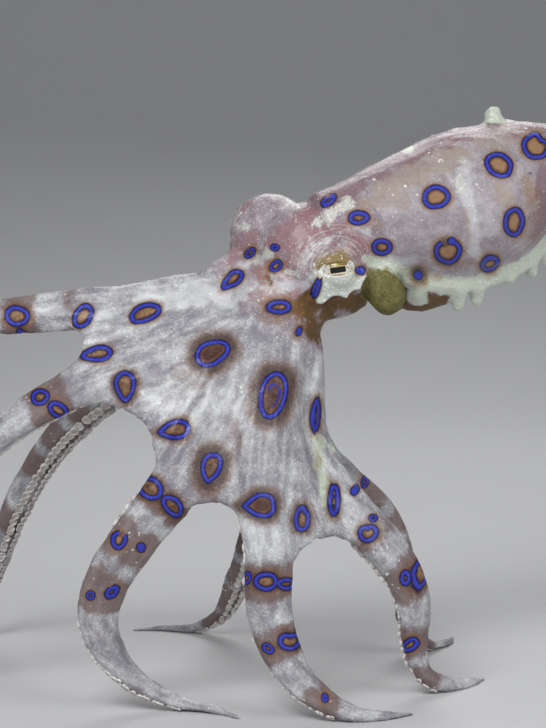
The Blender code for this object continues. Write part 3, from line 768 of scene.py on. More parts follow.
def sculptSkin(obj):
    for reach in creases["finer"]:
        for eye in eyes:
            refineRound(obj, eye, reach)
    places = softenRoots(meshArrays(obj)[0], edgePairs(obj))
    setPlaces(obj, slimPapillae(places))
    places, normals = meshArrays(obj)
    survey = Survey(places)
    onArm = survey.limb * smoothStep(0.5, 6.0, survey.along - 4.0)
    flow = np.column_stack([survey.along, survey.side, survey.out]) * creases["lengthwiseRate"] * mm
    folds = fieldOf(flow, 1.0, 2, 3.0)
    height = creases["lengthwise"] * folds * onArm
    lumps = fieldOf(places, creases["wartRate"], 2, 9.0)
    fine = fieldOf(places, creases["grainRate"], 2, 21.0)
    height += creases["warts"] * smoothStep(0.28, 0.75, lumps) * (0.5 + 0.5 * survey.mantle)
    height += creases["grain"] * fine
    for eye in eyes:
        height += creases["roundEye"] * creaseEye(places, eye)
    places = places + normals * (height * mm)[:, None]
    for eye in eyes:
        places = carveEye(places, eye)
    print("lowest before the floor:", places[:, 2].min())
    layOnFloor(obj, places)


sculptSkin(skin)
print("skin sculpted:", len(skin.data.vertices))

thinning = {
    "triangles": 192000,
    "hidden": 0.35,         # how firmly the faces turned away from the camera are kept
    "seenMore": 0.55,       # and how much more firmly those turned to it
    "body": 0.8,            # head and mantle, on every side
    "most": 0.9,
    "eyeMore": 0.1,
    "eyeReach": (6.5, 5.5),
    "levels": 20,
}


def facingOf(places, normals):
    # 1 where a surface looks straight at the camera, below 0 where it looks away
    return (normals * unit(eyePoint - places)).sum(1)


def thinSkin(obj):
    # fewer faces where nobody looks closely: inside the crown of arms, under the web, the far side
    places, normals = meshArrays(obj)
    survey = Survey(places)
    facing = smoothStep(-0.3, 0.2, facingOf(places, normals))
    keep = thinning["hidden"] + thinning["seenMore"] * facing
    keep = np.maximum(keep, thinning["body"] * np.maximum(survey.head, survey.mantle))
    keep = np.minimum(keep, thinning["most"])
    for eye in eyes:
        away = np.linalg.norm(places - np.array(eye.centre), axis=1) / mm
        near = smoothStep(*thinning["eyeReach"], away)
        keep = np.maximum(keep, thinning["most"] + thinning["eyeMore"] * near)
    group = obj.vertex_groups.new(name="keep")
    levels = np.round((1 - keep) * thinning["levels"]).astype(int)
    for level in np.unique(levels):
        group.add(np.nonzero(levels == level)[0].tolist(), level / thinning["levels"], "REPLACE")
    faces = sum(len(p.vertices) - 2 for p in obj.data.polygons)
    applyModifier(obj, "DECIMATE", ratio=min(1.0, thinning["triangles"] / faces),
                  vertex_group="keep", vertex_group_factor=1.0)
    obj.vertex_groups.clear()
    layOnFloor(obj, meshArrays(obj)[0])
    print("skin thinned:", faces, "to", len(obj.data.polygons))


thinSkin(skin)
skinTree = treeOf(skin)
skinPlaces, skinNormals = meshArrays(skin)
skinSurvey = Survey(skinPlaces)
skinX, skinY = pixelOf(skinPlaces)
toCamera = unit(eyePoint - skinPlaces)
skinFacing = facingOf(skinPlaces, skinNormals)
skinFinder = finderOf(skinPlaces)


def mirrored(places, normals, survey):
    # the point on the animal's other side: head points across the head's middle, mantle points round it
    middle = np.array((leftEye.centre + rightEye.centre) / 2)
    across = np.array(headAcross)
    headPlaces = places - 2 * ((places - middle) @ across)[:, None] * across
    headNormals = normals - 2 * (normals @ across)[:, None] * across
    rows = np.round(survey.mantleAlong * (courseRows - 1)).astype(int)
    lefts = mantleLefts[rows]
    mantlePlaces = places - 2 * ((places - mantleLine[rows]) * lefts).sum(1)[:, None] * lefts
    mantleNormals = normals - 2 * (normals * lefts).sum(1)[:, None] * lefts
    share = survey.mantle[:, None]
    return (headPlaces * (1 - share) + mantlePlaces * share,
            unit(headNormals * (1 - share) + mantleNormals * share))


otherPlaces, otherNormals = mirrored(skinPlaces, skinNormals, skinSurvey)
otherX, otherY = pixelOf(otherPlaces)
otherFacing = facingOf(otherPlaces, otherNormals)
pairShare = np.clip(skinSurvey.head + skinSurvey.mantle, 0, 1) * smoothStep(0.0, -0.25, skinFacing)
# the two mirrorings don't meet at the neck
pairShare *= 1 - 4 * skinSurvey.mantle * (1 - skinSurvey.mantle)
wobble = fieldOf(skinPlaces, 0.45, 3, 31.0)
print("skin surveyed")

# Colour patches, each a stroke over the surface: its points and its half width, in pixels. The strokes
# at the mantle's far end, past x 528, are painted shade.
strokes = {
    "white": [
        ([(320, 221), (334, 213), (350, 205)], 8), ([(240, 226), (247, 227)], 4.5),
        ([(256, 258), (272, 252)], 6), ([(459, 179), (460, 188)], 6.5),
        ([(286, 200), (300, 207)], 2.5), ([(286, 272), (298, 274)], 3.5),
        ([(384, 262), (402, 266)], 4),
    ],
    "pale": [
        ([(150, 300), (215, 294), (285, 288)], 15), ([(262, 272), (286, 276)], 8),
        ([(232, 268), (250, 264)], 7), ([(250, 262), (262, 262)], 8), ([(295, 262), (300, 250)], 5),
        ([(306, 262), (312, 246), (330, 240)], 4), ([(352, 228), (366, 232)], 6),
        ([(376, 262), (412, 262)], 8), ([(300, 292), (308, 280)], 6),
        ([(466, 165), (470, 200), (477, 255)], 6), ([(462, 172), (462, 196)], 6),
    ],
    "green": [
        ([(368, 260), (386, 263), (402, 271), (413, 284)], 6), ([(404, 150), (410, 149)], 3),
        ([(316, 440), (326, 500)], 6), ([(330, 420), (334, 450)], 4),
    ],
    "brown": [
        ([(300, 302), (330, 303), (356, 303)], 11), ([(305, 308), (316, 332)], 11),
        ([(268, 277), (271, 283)], 3.5), ([(345, 298), (368, 306)], 10), ([(322, 318), (330, 312)], 6),
        ([(318, 280), (306, 298)], 2.5), ([(425, 294), (429, 296)], 4),
    ],
    "stainAndShade": [
        ([(176, 368), (196, 384)], 9), ([(232, 424), (240, 446)], 9), ([(316, 425), (318, 470)], 5),
        ([(206, 490), (212, 500)], 8), ([(262, 418), (268, 436)], 8), ([(262, 276), (276, 290)], 9),
        # the stroke from (528, 180) to (534, 206) is painted shade, darkening the mantle's far end
        # where the light falls off
        ([(262, 318), (300, 316)], 7), ([(528, 180), (534, 206)], 8), ([(455, 266), (470, 262)], 6),
        ([(430, 276), (440, 277)], 5), ([(352, 214), (378, 226)], 7),
    ],
    "tan": [
        ([(385, 187), (420, 170), (455, 152)], 18), ([(365, 205), (380, 200)], 10),
        ([(396, 200), (404, 204)], 8), ([(480, 140), (520, 134)], 11), ([(500, 190), (505, 200)], 10),
        # the stroke from (528, 178) to (532, 236) is painted shade at the mantle's far end
        ([(466, 215), (470, 238)], 4), ([(528, 178), (538, 210), (532, 236)], 9),
        ([(350, 395), (352, 430)], 8),
    ],
    "mauve": [
        ([(318, 200), (345, 187), (400, 157)], 11), ([(400, 157), (440, 138), (500, 124)], 10),
        ([(304, 214), (318, 200)], 7), ([(330, 205), (352, 196)], 7), ([(500, 126), (546, 130)], 9),
        ([(544, 175), (546, 205), (540, 236)], 12),
    # painted shade: this stroke darkens the mantle's far end, where the light falls off
    ],
    "pink": [
        ([(272, 244), (288, 230), (308, 216)], 9),
        ([(288, 272), (290, 255), (300, 240), (318, 230)], 9),
        ([(318, 230), (340, 226), (358, 236), (368, 252)], 8),
        ([(272, 262), (282, 248), (298, 232)], 7), ([(232, 262), (236, 250), (246, 244)], 8),
        ([(256, 268), (262, 282)], 6), ([(302, 232), (316, 216)], 8), ([(352, 246), (366, 262)], 7),
        ([(256, 296), (282, 300), (300, 294)], 8), ([(240, 240), (252, 236)], 8),
        ([(268, 262), (280, 278)], 5),
    ],
}


def strokeShare(points, half, x, y, facing, places):
    hits = [seenPoint(skinTree, *p)[0] for p in points]
    hits = [h for h in hits if h is not None]
    if not hits:
        print("no skin under the stroke at", points[0])
        return np.zeros(len(x))
    # the skin well in front of the stroke or behind it has no part in it
    depth, ends = depthOf(places) / mm, [depthOf(h) / mm for h in hits]
    inDepth = smoothStep(min(ends) - 9, min(ends) - 5, depth)
    inDepth *= smoothStep(max(ends) + 13, max(ends) + 8, depth)
    best = np.full(len(x), 1e9)
    for (ax, ay), (bx, by) in zip(points[:-1], points[1:]):
        run = (bx - ax) ** 2 + (by - ay) ** 2
        t = np.clip(((x - ax) * (bx - ax) + (y - ay) * (by - ay)) / run, 0, 1)
        best = np.minimum(best, np.hypot(x - ax - t * (bx - ax), y - ay - t * (by - ay)))
    reach = best / half + 0.75 * wobble
    return smoothStep(1.5, 0.3, reach) * inDepth * smoothStep(-0.4, -0.1, facing)


def paintStrokes(name):
    total = np.zeros(len(skinPlaces))
    for points, half in strokes[name]:
        own = strokeShare(points, half, skinX, skinY, skinFacing, skinPlaces)
        pair = strokeShare(points, half, otherX, otherY, otherFacing, otherPlaces) * pairShare
        total = np.maximum(total, np.maximum(own, pair))
    return total


patches = {name: paintStrokes(name) for name in strokes}
print("patches painted")

# The rings: x, y, half length and half width in pixels, turn of the long axis, kind, and how many
# millimetres the brown reaches round it.
ringsSeen = [
    (17, 316, 12, 10, 0, "ring", 2.2), (22, 333, 6, 3.5, 0, "ring", 1.2),
    (83, 316, 13, 9, 60, "ring", 1.6), (145, 313, 16, 9, 20, "ring", 1.8),
    (232, 280, 13, 7, 220, "drop", 1.8), (96, 354, 15.5, 8, 188, "drop", 2.0),
    (125, 387, 15, 11, 270, "drop", 2.4), (40, 397, 9, 8, 0, "ring", 1.5),
    (58, 410, 11, 7.5, -35, "ring", 1.8), (212, 353, 18, 12, 25, "ring", 4.2),
    (273, 395, 23, 14, 75, "ring", 4.6), (174, 430, 16.5, 9.5, 190, "drop", 2.2),
    (211, 468, 16, 10, 255, "drop", 4.5), (150, 488, 13, 11, -35, "ring", 2.6),
    (172.5, 506, 12, 8.5, -50, "ring", 2.6), (107, 532, 6, 7, 0, "ring", 1.6),
    (119, 540, 8, 9, 0, "open", 1.6), (141, 547.5, 3.2, 3.2, 0, "dot", 1.4),
    (90.5, 595.5, 5, 5, 0, "ring", 1.4), (112, 592, 8, 5, 40, "open", 1.6),
    (128, 615, 8, 6, 40, "ring", 1.8), (121, 628, 3, 3, 0, "dot", 1.2),
    (156, 600, 4, 5, 0, "dot", 1.6), (259.5, 505.5, 16, 12.5, 180, "drop", 3.2),
    (302, 519, 13, 7.5, 90, "ring", 2.4), (334, 500, 16, 5.5, 90, "ring", 2.0),
    (368, 533, 10, 9, 20, "heart", 2.2), (373, 518, 5, 4, 0, "ring", 1.2),
    (365, 482, 7, 4, 80, "ring", 1.4), (355, 490, 4, 2.4, 60, "dot", 1.2),
    (407, 521, 9, 6, 90, "ring", 1.8), (405.5, 578, 8, 5, 90, "ring", 1.8),
    (421.6, 574, 14, 9.5, 270, "drop", 2.4), (247, 578, 7, 4.5, 75, "ring", 1.6),
    (266, 581.5, 12, 9, 0, "ring", 2.6), (286, 584, 9, 6, 0, "ring", 2.0),
    (268, 648.5, 7, 5, -40, "ring", 1.6), (290, 641, 11.5, 9, 10, "heart", 2.4),
    (325, 698, 5, 3.5, 90, "ring", 1.6), (336, 694, 12, 4.5, -65, "ring", 1.8),
    (410, 645, 10, 6, 30, "ring", 2.0), (316, 415, 16, 4, 88, "ring", 1.8),
    (279, 307, 12, 6.5, 0, "ring", 2.4), (299, 331, 5, 3.2, 70, "ring", 1.6),
    (316, 289, 9, 3.7, 70, "ring", 1.4), (276, 266, 7.5, 5.5, 40, "ring", 1.8),
    (275, 247.5, 5, 4, 0, "ring", 1.0), (250, 253, 7, 4.5, 40, "open", 1.6),
    (360.5, 270.5, 3.3, 2.6, -25, "dot", 1.5), (328.5, 200.5, 8.5, 4.5, 35, "open", 1.0),
    (358.6, 217.7, 10.5, 6.5, 0, "ring", 1.8), (382, 247, 10, 8, 0, "ring", 1.6),
    (436, 197, 13.5, 11.5, 0, "ring", 1.8), (499, 165, 14, 12, -45, "ring", 1.9),
    (536, 146, 14, 13, -30, "heart", 2.0), (514, 222, 14, 10.5, 80, "ring", 1.8),
    (448, 251.5, 13, 12.5, 40, "open", 2.3), (451.5, 241, 2.4, 2.4, 0, "dot", 0.3),
    (490, 264, 10, 7, 20, "ring", 2.0), (418, 275, 2.7, 3.0, 0, "dot", 3.0),
]
ringStyle = {
    "line": 0.27,       # half width of the blue line in millimetres
    "fineLine": 0.19,
    "fineBelow": 8.0,   # rings with a shorter half length than this, in pixels, have the fine line
    "trim": 1.8,        # from a ring's outside to the middle of its line, in pixels
    "outlineSteps": 180,
    "openAt": 62.0,
    "openWide": 26.0,
    "apart": 3.0,       # rings closer than this share no set
    "deepFrom": 1.7,    # how far the brown has to reach before a ring's centre darkens
    "deepOver": 2.6,
    "dent": (80, 22, 0.34),     # of a heart: degrees, width in degrees, depth
    "drop": (1.2, 0.7),         # how wide a drop is, and how soon it widens from its point
    "swings": ((2, 0.06), (3, 0.05), (5, 0.025), (7, 0.015)),   # waves of an outline and their height
    "pairGap": 1.0,     # least room round a ring on the other side of head and mantle
    "pairLongest": 2.4,
}


class Outline:
    # a closed line round 0, 0 in millimetres, long axis along x, as a radius for each direction
    def __init__(self, kind, long, short, seed):
        drift = random.Random(seed)
        swing = [(k, drift.uniform(-size, size), drift.uniform(0, 6.3))
                 for k, size in ringStyle["swings"]]
        steps = ringStyle["outlineSteps"]
        wide, soon = ringStyle["drop"]
        dentAt, dentWide, dentDeep = ringStyle["dent"]
        points = []
        for i in range(steps):
            turn = 2 * math.pi * i / steps
            x, y = math.cos(turn), math.sin(turn)
            if kind == "drop":
                y *= wide * abs(math.sin(turn / 2)) ** soon
            grow = 1 + sum(size * math.sin(k * turn + phase) for k, size, phase in swing)
            if kind == "heart":
                grow -= dentDeep * math.exp(-((math.degrees(turn) - dentAt) / dentWide) ** 2)
            points.append((x * long * grow, y * short * grow))
        x, y = np.array(points).T
        turns = np.mod(np.unwrap(np.arctan2(y, x)), 2 * math.pi)
        order = np.argsort(turns)
        self.turns = turns[order]
        self.reach = np.hypot(x, y)[order]
        slope = np.gradient(self.reach) / np.maximum(np.gradient(self.turns), 1e-4)
        self.lean = 1 / np.sqrt(1 + (slope / self.reach) ** 2)

    def spread(self, points):
        # how far out each point is with the outline at 1, and the millimetres that 1 stands for
        turns = np.mod(np.arctan2(points[:, 1], points[:, 0]), 2 * math.pi)
        reach = np.interp(turns, self.turns, self.reach, period=2 * math.pi)
        lean = np.interp(turns, self.turns, self.lean, period=2 * math.pi)
        return points / reach[:, None], reach * np.maximum(lean, 0.45)


class RingPlace:
    def __init__(self, place, normal, seen, long, short, turn, kind, halo, fine):
        self.place, self.normal = np.array(place), np.array(normal)
        self.long, self.short, self.kind, self.halo = long, short, kind, halo
        self.seen, self.fine, self.turn = seen, fine, math.radians(turn)
        self.line = ringStyle["fineLine"] if fine else ringStyle["line"]
        self.deep = float(np.clip((halo - ringStyle["deepFrom"]) / ringStyle["deepOver"], 0, 1))

    def flat(self, near):
        # the points near it in millimetres along and across it, as they look from in front of it
        away = (skinPlaces[near] - self.place) / mm
        if self.seen:
            spots = self.asSeen(near, away)
        else:
            helper = np.array((0.0, 0.0, 1.0) if abs(self.normal[2]) < 0.9 else (1.0, 0.0, 0.0))
            up = unit(helper - self.normal * (helper @ self.normal))
            spots = self.wrapped(away, np.cross(up, self.normal), up)
        cos, sin = math.cos(self.turn), math.sin(self.turn)
        x, y = spots[:, 0], spots[:, 1]
        return np.column_stack([x * cos + y * sin, -x * sin + y * cos])

    def wrapped(self, away, right, up):
        # laid round the surface, so that distances over it are kept
        spots = np.column_stack([away @ right, away @ up])
        spread = np.linalg.norm(away, axis=1) / np.maximum(np.linalg.norm(spots, axis=1), 1e-9)
        return spots * np.minimum(spread, 2.0)[:, None]

    def asSeen(self, near, away):
        # as the camera sees it where the skin faces the camera, wrapped where it is seen aslant
        right, up = np.array(viewRight), np.array(viewUp)
        facing = float(self.normal @ unit(eyePoint - self.place))
        tilt = np.array((self.normal @ right, self.normal @ up))
        tilt = tilt / max(np.linalg.norm(tilt), 1e-9)
        level = np.array((-tilt[1], tilt[0]))
        across = right * level[0] + up * level[1]
        steep = unit(np.cross(self.normal, across))
        steep *= np.sign(steep @ (right * tilt[0] + up * tilt[1]) + 1e-12)
        spots = self.wrapped(away, steep, across)
        laid = np.outer(spots[:, 0] * max(facing, 0.45), tilt) + np.outer(spots[:, 1], level)
        x, y = pixelOf(self.place[None, :])
        straight = np.column_stack([skinX[near] - x, y - skinY[near]]) / pixelsPerMm(self.place)
        share = float(smoothStep(0.3, 0.6, facing))
        return straight * share + laid * (1 - share)


def placeRings():
    made = []
    for x, y, long, short, turn, kind, halo in ringsSeen:
        hit, normal = seenPoint(skinTree, x, y)
        if hit is None:
            print("no skin under the ring at", x, y)
            continue
        scale = pixelsPerMm(hit)
        trim = ringStyle["trim"] if kind != "dot" else 0.0
        made.append(RingPlace(hit, normal, True, (long - trim) / scale, max(short - trim, 1.2) / scale,
                              turn, kind, halo, long < ringStyle["fineBelow"]))
    return made


def hiddenFrom(place, size):
    # whether the camera sees none of the skin within the size of the place
    near = [f[1] for f in skinFinder.find_range(Vector(place), (size + 0.8) * mm)]
    for index in near[::3]:
        if skinFacing[index] < 0.0:
            continue
        start = Vector(skinPlaces[index] + skinNormals[index] * 0.3 * mm)
        if skinTree.ray_cast(start, Vector(toCamera[index]))[0] is None:
            return False
    return True


def crowded(place, size, gap, rings):
    return any(np.linalg.norm(r.place - place) < (r.long + size + gap) * mm for r in rings)


def pairedRings(made):
    # the same rings on the other side of head and mantle
    added = []
    places = np.array([r.place for r in made])
    normals = np.array([r.normal for r in made])
    survey = Survey(places)
    others = mirrored(places, normals, survey)
    for i, ring in enumerate(made):
        if survey.mantle[i] + survey.head[i] < 0.6:
            continue
        hit, normal = skinTree.find_nearest(Vector(others[0][i] + others[1][i] * 0.5 * mm))[:2]
        hit, normal = np.array(hit), np.array(normal)
        if not hiddenFrom(hit, ring.long):
            continue
        if ring.kind != "dot" and crowded(hit, ring.long, ringStyle["pairGap"], made + added):
            continue
        level = max(0.5, float(ring.normal @ unit(eyePoint - ring.place)))
        long = min(ring.long / level, ringStyle["pairLongest"])
        added.append(RingPlace(hit, normal, False, max(long, ring.long), ring.short, 30 * i, ring.kind,
                               ring.halo, ring.fine))
    return added


armRingStyle = {
    "start": (12.0, 5),     # along the arm, and how much further at most
    "endGap": 5,
    "spacing": (8.5, 3.0),      # at the crown, and how much less at the tip
    "near": (28, 60),       # degrees round the arm of one of each two
    "far": (70, 100),       # and of the other
    "size": (2.3, 1.5),     # at the crown, and how much less at the tip
    "vary": (0.8, 1.15),
    "narrow": (0.6, 0.85),
    "kinds": ("ring", "ring", "drop"),
    "halo": (1.2, 0.5),     # how far the brown reaches: this much, and this share of the size
    "fineBelow": 1.3,
    "gap": 2.2,
    "reach": 2.6,           # of the arm's half width, beyond which the skin is the web's
    "floorGap": 1.2,
    "facing": 0.3,
}


def armRings(made):
    # rings down the arms where the front doesn't show them, alternately on either side
    style, added = armRingStyle, []
    chance = random.Random(5)
    for name, course in courses.items():
        along, flip = style["start"][0] + chance.uniform(0, style["start"][1]), 1
        while along < course.run[-1] - style["endGap"]:
            share = along / course.run[-1]
            row = int(np.searchsorted(course.run, along))
            for turn in (flip * chance.uniform(*style["near"]), -flip * chance.uniform(*style["far"])):
                lean = math.radians(turn)
                way = course.outs[row] * math.cos(lean) + course.sides[row] * math.sin(lean)
                hit, normal = skinTree.ray_cast(Vector(course.rows[row]), Vector(way))[:2]
                if hit is None:
                    continue
                hit, normal = np.array(hit), np.array(normal)
                size = (style["size"][0] - style["size"][1] * share) * chance.uniform(*style["vary"])
                if crowded(hit, size, style["gap"], made + added):
                    continue
                if np.linalg.norm(hit - course.rows[row]) > style["reach"] * arms[name]["half"] * mm:
                    continue
                if hit[2] < style["floorGap"] * mm or normal @ way < style["facing"]:
                    continue
                if not hiddenFrom(hit, size):
                    continue
                added.append(RingPlace(
                    hit, normal, False, size, size * chance.uniform(*style["narrow"]),
                    chance.uniform(0, 180), chance.choice(style["kinds"]),
                    style["halo"][0] + size * style["halo"][1], size < style["fineBelow"]))
            along += style["spacing"][0] - style["spacing"][1] * share
            flip = -flip
    return added


def paintRings(made):
    # Two sets, so that rings that nearly touch never share one. Each point knows the nearest ring of
    # both, and the dots come first and are all in the second set.
    count = len(skinPlaces)
    spots = [np.tile((9.0, 9.0, 9.0), (count, 1)) for _ in range(2)]
    nearest = [np.full(count, 1e9) for _ in range(2)]
    shown = [np.zeros(count) for _ in range(2)]
    gap, fill, halo, deep, inner = (np.zeros(count) for _ in range(5))
    widest = max(made, key=lambda ring: ring.long)
    chosen = []
    for seed, ring in enumerate(made):
        reach = (max(ring.long, ring.short) * 1.2 + max(ring.halo * 1.2, 2.0) + 1.0) * 1.6
        found = skinFinder.find_range(Vector(ring.place), reach * mm)
        near = np.array([f[1] for f in found], dtype=int)
        near = near[(skinNormals[near] @ ring.normal) > -0.2]
        if not len(near):
            chosen.append(None)
            continue
        own = ring.flat(near)
        outward, size = Outline(ring.kind, ring.long, ring.short, seed).spread(own)
        far = (np.hypot(outward[:, 0], outward[:, 1]) - 1) * size
        clash = [False, False]
        for other, placed in zip(made, chosen):
            if placed is None:
                continue
            between = np.linalg.norm(other.place - ring.place) / mm
            if between < other.long + ring.long + ringStyle["apart"]:
                clash[placed] = True
        use = 1 if ring.kind == "dot" or (clash[0] and not clash[1]) else 0
        if clash[use]:
            print("crowded ring", seed)
        chosen.append(use)
        fade = smoothStep(ring.halo, 0.1, far)
        halo[near] = np.maximum(halo[near], fade ** 1.3 * min(1.0, 0.62 + ring.halo * 0.1))
        closer = far < nearest[use][near]
        picked = near[closer]
        nearest[use][picked] = far[closer]
        spots[use][picked] = np.column_stack([outward, size / ring.line])[closer]
        shown[use][picked] = smoothStep(1.5, 1.0, far[closer])
        deep[picked] = min(1.0, ring.deep + 0.35 * ringMarks.limb[seed])
        if use == 0:
            inner[picked] = float(ring is widest)
        if ring.kind == "dot":
            fill[picked] = np.maximum(fill[picked], smoothStep(1.2, 0.8, far[closer]))
        if ring.kind == "open":
            turn = np.degrees(np.arctan2(own[:, 1], own[:, 0])) - ringStyle["openAt"]
            turn = (turn + 180) % 360 - 180
            missing = smoothStep(ringStyle["openWide"], ringStyle["openWide"] * 0.6, np.abs(turn))
            gap[near] = np.maximum(gap[near], missing * smoothStep(1.5, 1.0, np.abs(far)))
    return spots, shown, gap, fill, halo, deep, inner


allRings = placeRings()
allRings += pairedRings(allRings)
allRings += armRings(allRings)
allRings.sort(key=lambda ring: ring.kind != "dot")
ringMarks = Survey(np.array([ring.place for ring in allRings]))
ringSpots, ringShown, ringGap, ringFill, ringHalo, ringDeep, ringInner = paintRings(allRings)
print("rings:", len(allRings))

maskShape = {
    "band": (3.9, 1.6),     # from a ring along its arm, where the band round the arm ends and is full
    "bandStart": (-6, 3),   # past the web's end
    "flap": (0.35, -0.1),   # out of the flap's rim
    "brow": (-0.4, 1.3, 3.2, 2.1),  # middle and half axes, to the rear and up
    "arcs": (2.2, 3.2, 9.0, 6.4),   # from the eye's middle: begin, full, begin to fade, end
    "under": (2, 9),        # degrees past the ridge, where the brown underside begins and is full
    # the underside's dark brown is partly painted shade
    "belly": (1.16, 1.06),
    "papilla": (2.1, 1.5),  # from its axis
    "knob": (-0.5, 0.5),    # of the back: how deep it starts, how much wider it is
    "funnel": (1.34, 1.12),
    "stainAndShade": 0.42,
}


def bandsOnArms():
    # beyond the web an arm is brown-mauve where its rings are and white between them
    bands, marks = np.zeros(len(skinPlaces)), ringMarks
    for i in range(len(allRings)):
        if marks.limb[i] < 0.5 or marks.along[i] < marks.webEnd[i] - 4:
            continue
        same = skinSurvey.arm == marks.arm[i]
        away = np.abs(skinSurvey.along - marks.along[i]) + 0.9 * wobble
        bands[same] = np.maximum(bands[same], smoothStep(*maskShape["band"], away[same]))
    past = skinSurvey.along - skinSurvey.webEnd
    return bands * skinSurvey.limb * smoothStep(*maskShape["bandStart"], past)


def eyeMasks():
    # the pale flap below each eye, the olive brow above it and the pale folds round that
    flap, brow, arcs = (np.zeros(len(skinPlaces)) for _ in range(3))
    browX, browY, browLong, browTall = maskShape["brow"]
    start, full, fading, end = maskShape["arcs"]
    for eye in eyes:
        x, y, z = eye.local(skinPlaces)
        turn = np.degrees(np.arctan2(y, x)) % 360
        turn = np.where(turn < 40, turn + 360, turn)
        reach = np.hypot(x, y)
        past = reach - np.interp(turn, *flapEdge.T)
        below = smoothStep(170, 184, turn) * smoothStep(374, 364, turn)
        flap = np.maximum(flap, below * smoothStep(*maskShape["flap"], past) * (z > 0.3))
        above = np.hypot((x - browX) / browLong, (y - browY) / browTall) + 0.3 * wobble
        brow = np.maximum(brow, smoothStep(1.5, 0.3, above) * (z > 0))
        ringed = smoothStep(start, full, reach) * smoothStep(fading, end, reach + 0.8 * wobble)
        arcs = np.maximum(arcs, ringed * smoothStep(-0.8, 0.8, y) * (z > -1))
    return flap, brow, arcs


def eyeSpots():
    # each point's place in the nearer eye's own frame, so that skin and eyeball share one pattern
    spots = [np.column_stack(eye.local(skinPlaces)) for eye in eyes]
    nearer = np.linalg.norm(spots[0], axis=1) < np.linalg.norm(spots[1], axis=1)
    return np.where(nearer[:, None], spots[0], spots[1])


def mantleMasks():
    # the mantle's brown underside, dark partly as its own colour and partly as painted shade where the
    # mantle turns under, and the pale ridges and papillae that border it
    turn, ridgeTurn = np.abs(skinSurvey.mantleTurn), mantleShape["ridgeTurn"]
    begin, full = maskShape["under"]
    # painted shade with the real brown: the underside is laid dark below the ridge, where the mantle
    # turns away from the light
    under = smoothStep(ridgeTurn + begin, ridgeTurn + full, turn + 2.0 * wobble) * skinSurvey.mantle
    belly = lumpReach(skinPlaces, bellyLump) + 0.03 * wobble
    under = np.maximum(under, smoothStep(*maskShape["belly"], belly) * (turn > 90))
    steps = np.linspace(*mantleShape["ridgeSpan"], 70)
    line = [ridgePlace(along, side) for side in (1, -1) for along in steps]
    gap = nearestRows(line, skinPlaces)[1] / mm
    above = smoothStep(ridgeTurn + 6, ridgeTurn - 6, turn)
    ridge = smoothStep(1.9 + 1.5 * above, 1.3 + 0.2 * above, gap + 0.7 * wobble)
    ends = [(root, way, wanted, 0.0) for root, way, _, wanted in papillaAxes()]
    along, turned, length = mantleShape["backKnob"]
    depth, wider = maskShape["knob"]
    ends.append((*mantlePlace(along, turned, depth), length, wider))
    for root, way, length, wider in ends:
        away = (skinPlaces - root) / mm
        run = np.clip(away @ way, 0.3, length)
        gap = np.linalg.norm(away - run[:, None] * way, axis=1) - wider
        ridge = np.maximum(ridge, smoothStep(*maskShape["papilla"], gap))
    return under, ridge


flap, brow, arcs = eyeMasks()
under, ridge = mantleMasks()
funnel = lumpReach(skinPlaces, funnelLump) + 0.06 * wobble
funnel = smoothStep(*maskShape["funnel"], funnel) * (1 - ridge)
# the brown strokes, and the underside's brown, which is partly painted shade
brown = np.maximum(patches["brown"], under * 0.95 * (1 - ridge))
green = np.maximum(patches["green"], ridge)
# the stain strokes join the brown of the halos, and with them the painted shade at the mantle's far end
ringHalo = np.maximum(ringHalo, patches["stainAndShade"] * maskShape["stainAndShade"])
# Masks and coordinates go three to an attribute.
for name, columns in {
        "flow": (skinSurvey.along, skinSurvey.side, skinSurvey.out),
        "ringA": ringSpots[:1],
        "ringB": ringSpots[1:],
        "ringShown": (*ringShown, ringGap),
        "ringTone": (ringHalo, ringFill, ringDeep),
        "eyeSpot": (eyeSpots(),),
        "parts": (skinSurvey.mantle, skinSurvey.head, bandsOnArms()),
        "warm": (patches["tan"], patches["mauve"], patches["pink"]),
        "light": (patches["white"], patches["pale"], green),
        "dark": (funnel, brown, brow),
        "eyeRound": (flap, arcs, ringInner)}.items():
    storeVectors(skin, name, *columns)
shadeSmooth(skin)
print("skin painted")


class Wire:
    # one output of a node, for sums written as plain expressions
    def __init__(self, finish, socket):
        self.finish, self.socket = finish, socket

    def sum(self, operation, *values):
        return self.finish.node("ShaderNodeMath", {"operation": operation}, dict(enumerate(values)))

    def __add__(self, other):
        return self.sum("ADD", self, other)

    def __radd__(self, other):
        return self.sum("ADD", other, self)

    def __sub__(self, other):
        return self.sum("SUBTRACT", self, other)

    def __rsub__(self, other):
        return self.sum("SUBTRACT", other, self)

    def __mul__(self, other):
        return self.sum("MULTIPLY", self, other)

    def __rmul__(self, other):
        return self.sum("MULTIPLY", other, self)

    def __truediv__(self, other):
        return self.sum("DIVIDE", self, other)

    def __rtruediv__(self, other):
        return self.sum("DIVIDE", other, self)

    def __abs__(self):
        return self.sum("ABSOLUTE", self)

    def least(self, other):
        return self.sum("MINIMUM", self, other)

    def most(self, other):
        return self.sum("MAXIMUM", self, other)

    def power(self, other):
        return self.sum("POWER", self, other)

    def other(self, index):
        # another output of the same node
        return Wire(self.finish, self.socket.node.outputs[index])

    def step(self, low, high):
        # 0 below low and 1 above high, or the other way when low is the greater
        falls = low > high
        return self.finish.node(
            "ShaderNodeMapRange", {"interpolation_type": "SMOOTHSTEP", "clamp": True},
            {"Value": self, "From Min": min(low, high), "From Max": max(low, high),
             "To Min": float(falls), "To Max": float(not falls)})


